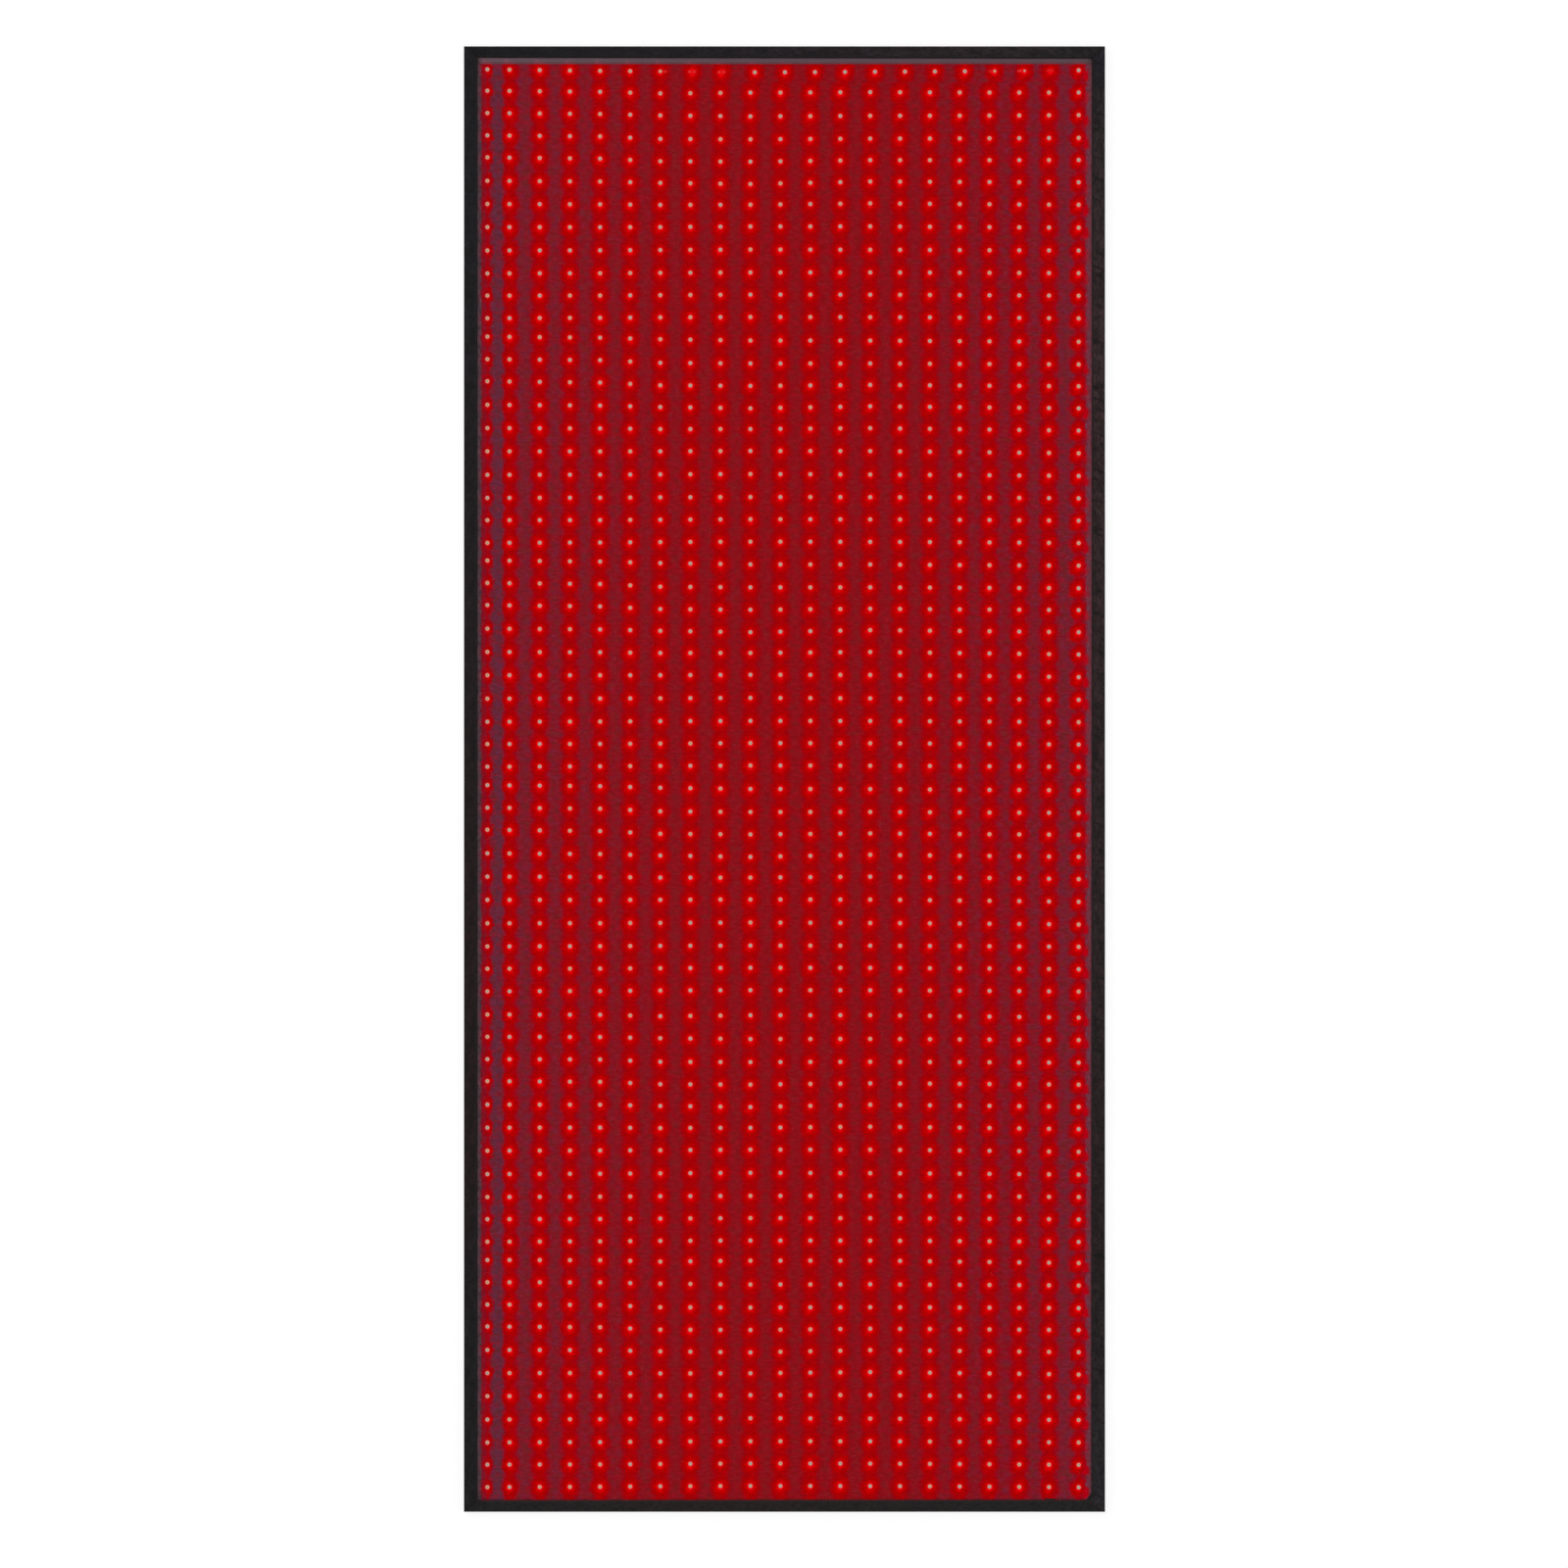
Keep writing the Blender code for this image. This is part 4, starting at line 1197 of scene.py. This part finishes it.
def make_stitching(stretch, finish):
    """All the stitches of a stretch, above and below: down both sides and across its end."""
    draw = random.Random(stretch.name)
    points, faces = [], []
    depth = STITCH_GROOVE - THREAD_RADIUS * 0.7
    end = next((y for y in (stretch.low, stretch.high) if abs(y) == HALF_LENGTH), None)
    limit = HALF_LENGTH - BINDING_END_WIDTH
    low, high = max(stretch.low, -limit), min(stretch.high, limit)
    for level, way in ((BINDING_TOP - depth - 0.1 * MM, 1), (THREAD_RADIUS + 0.05 * MM, -1)):
        for y in spaced(low, high, STITCH_PITCH)[:-1]:
            for side in (-1, 1):
                width = side_width(side, y) if way > 0 else BINDING_SIDE_WIDTH
                middle = (side * (HALF_WIDTH - width + STITCH_INSET), y + STITCH_PITCH / 2, level)
                stitch(points, faces, middle, (0, 1), way, draw.uniform(*STITCH_LEAN))
        if end:
            across = HALF_WIDTH - BINDING_SIDE_WIDTH
            for x in spaced(-across, across, STITCH_PITCH)[:-1]:
                width = end_width(end, x) if way > 0 else BINDING_END_WIDTH
                y = math.copysign(HALF_LENGTH - width + STITCH_INSET, end)
                middle = (x + STITCH_PITCH / 2, y, level)
                stitch(points, faces, middle, (1, 0), way, draw.uniform(*STITCH_LEAN))
    piece = build(f"stitching_{stretch.name}", points, faces, [(x + z, y) for x, y, z in points],
                  finish, smooth_angle=60.0)
    stretch.hold(piece, "binding_leatherette")


# ---------------------------------------------------------------- the mat

def make_lead(stretch, side, pole, finish):
    """One flat supply lead of a stretch, with rounded edges."""
    boxes = [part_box(node) for node in stretch.nodes(f"lead_{pole}")]
    low = max(stretch.low, min(box[0].y for box in boxes))
    high = min(stretch.high, max(box[1].y for box in boxes))
    half_w, half_t = LEAD_WIDTH / 2, LEAD_THICKNESS / 2
    rings, maps = [], []
    for y in stretch.lines(low, high, LEAD_STEP):
        middle = SOCKET_X + side * LEAD_SPACING / 2 + 0.15 * MM * ripple(side, y, 60 * MM, 2.0)
        rings.append([(middle + math.copysign(half_w - half_t, across) + half_t * across, y,
                       LEAD_BASE + half_t + half_t * up)
                      for across, up in circle(LEAD_SIDES, 0.5)])
        maps.append([(k * MM, y) for k in range(LEAD_SIDES)])
    piece = tube(f"lead_{pole}_{stretch.name}_wire", rings, maps, finish)
    stretch.hold(piece, "red_insulation" if side > 0 else "black_insulation",
                 stretch.nodes(f"lead_{pole}"))


# Pulls that the photograph shows on the right strip, as (place, depth, half width, slant)
RIGHT_PULLS = ((434.9 * MM, 0.45 * MM, 2.2 * MM, 0.1), (411.4 * MM, 0.4 * MM, 1.8 * MM, -0.15),
               (392.1 * MM, 0.45 * MM, 2.4 * MM, 0.05), (764 * MM, 0.55 * MM, 1.5 * MM, 1.36),
               (638 * MM, 0.4 * MM, 2.4 * MM, 0.2), (617 * MM, 0.4 * MM, 2.0 * MM, 0.5),
               (550 * MM, 0.4 * MM, 2.6 * MM, 0.15))


def dress():
    """Every layer, strip and lamp of the mat, stretch by stretch."""
    cloth, foam, film = cover_cloth(), pad_foam(), clear_film()
    lacquer, lens, cotton = board_lacquer(), lamp_lens(), thread()
    sides = {"left": (leatherette("left"), Creases(7, 60, HALF_LENGTH, 0.22 * MM), 19.0),
             "right": (leatherette("right"),
                       Creases(11, 190, HALF_LENGTH, 0.4 * MM, RIGHT_PULLS), 21.0)}
    black = moulded("black_insulation", (0.01,) * 3, (0.02,) * 3, 0.5)
    red = moulded("red_insulation", (0.3, 0.005, 0.005), (0.4, 0.01, 0.01), 0.5)
    for stretch in STRETCHES:
        make_cover(stretch, cloth)
        make_pad(stretch, foam)
        make_film(stretch, film)
        for number in stretch.boards:
            make_board(stretch, number, lacquer, lens)
        for side, name in ((-1, "left"), (1, "right")):
            make_side_strip(stretch, side, name, sides[name])
        make_lead(stretch, -1, "negative", black)
        make_lead(stretch, 1, "positive", red)
        make_stitching(stretch, cotton)
    creases = Creases(3, 50, HALF_WIDTH, 0.25 * MM)
    make_end_strip(1, "head", (leatherette("head"), creases, 31.0))
    make_end_strip(-1, "foot", (leatherette("foot"), creases, 37.0))


def finish_socket():
    """The socket's CAD pieces keep their shape and get their real surfaces."""
    plastic = moulded("socket_plastic", (0.008,) * 3, (0.016,) * 3, 0.38)
    metal = plated()
    for name, node in frame["nodes"].items():
        if name.startswith("socket_"):
            node.data.materials.clear()
            node.data.materials.append(plastic if name == "socket_housing" else metal)


# ---------------------------------------------------------------- stage

FLOOR_HALF = 8.0
FLOOR_Z = -0.3 * MM
FLOOR_GLOW = 0.845
WORLD_LIGHT = 0.62
LIGHT_SIZE = 2.6
LIGHTS = (("key", (-2.2, 1.2, 3.2), 62.0), ("fill", (2.6, -1.0, 3.0), 26.0))


def make_floor():
    """A pale floor that is white to the eye and keeps a faint shadow."""
    finish = Finish("floor_white", Base_Color=(0.18,) * 3, Roughness=0.9, Specular_IOR_Level=0.0,
                    Emission_Color=(1.0,) * 3)
    finish.drive(Emission_Strength=finish.seen() * FLOOR_GLOW)
    mesh = bpy.data.meshes.new("floor")
    corners = ((-1, -1), (1, -1), (1, 1), (-1, 1))
    mesh.from_pydata([(x * FLOOR_HALF, y * FLOOR_HALF, FLOOR_Z) for x, y in corners], [],
                     [(0, 1, 2, 3)])
    mesh.materials.append(finish.material)
    put_in_scene("floor", mesh)


def make_world():
    """White surroundings that light the mat less than they show."""
    world = bpy.data.worlds.new("studio")
    bpy.context.scene.world = world
    world.use_nodes = True
    nodes = Nodes(world.node_tree)
    background = world.node_tree.nodes["Background"]
    nodes.feed(background.inputs["Color"], (1.0,) * 3)
    nodes.feed(background.inputs["Strength"],
               nodes.node("Mix", {0: nodes.seen(), 2: WORLD_LIGHT, 3: 1.0}, data_type="FLOAT"))


def make_lights():
    """Two large soft lamps above the mat, the left one stronger."""
    for name, place, power in LIGHTS:
        data = bpy.data.lights.new(name, "AREA")
        data.shape = "RECTANGLE"
        data.size = data.size_y = LIGHT_SIZE
        data.energy = power
        lamp = put_in_scene(name, data)
        lamp.location = place
        lamp.rotation_euler = (-Vector(place)).to_track_quat("-Z", "Y").to_euler()


def make_camera():
    """Straight above the mat, as the photograph was taken."""
    data = bpy.data.cameras.new("view")
    data.lens = LENS
    data.sensor_width = SENSOR
    data.clip_end = 50.0
    camera = put_in_scene("view", data)
    height = VIEW_PLANE_Z + VIEW_WIDTH / 2 / (SENSOR / 2 / LENS)
    # Places taken from the photograph count from the middle of its first pixel, not its corner
    camera.location = (-PIXEL / 2, VIEW_MIDDLE_Y + PIXEL / 2, height)
    bpy.context.scene.camera = camera


make_camera()
dress()
finish_socket()
make_floor()
make_world()
make_lights()
bpy.context.scene.view_settings.view_transform = "Standard"
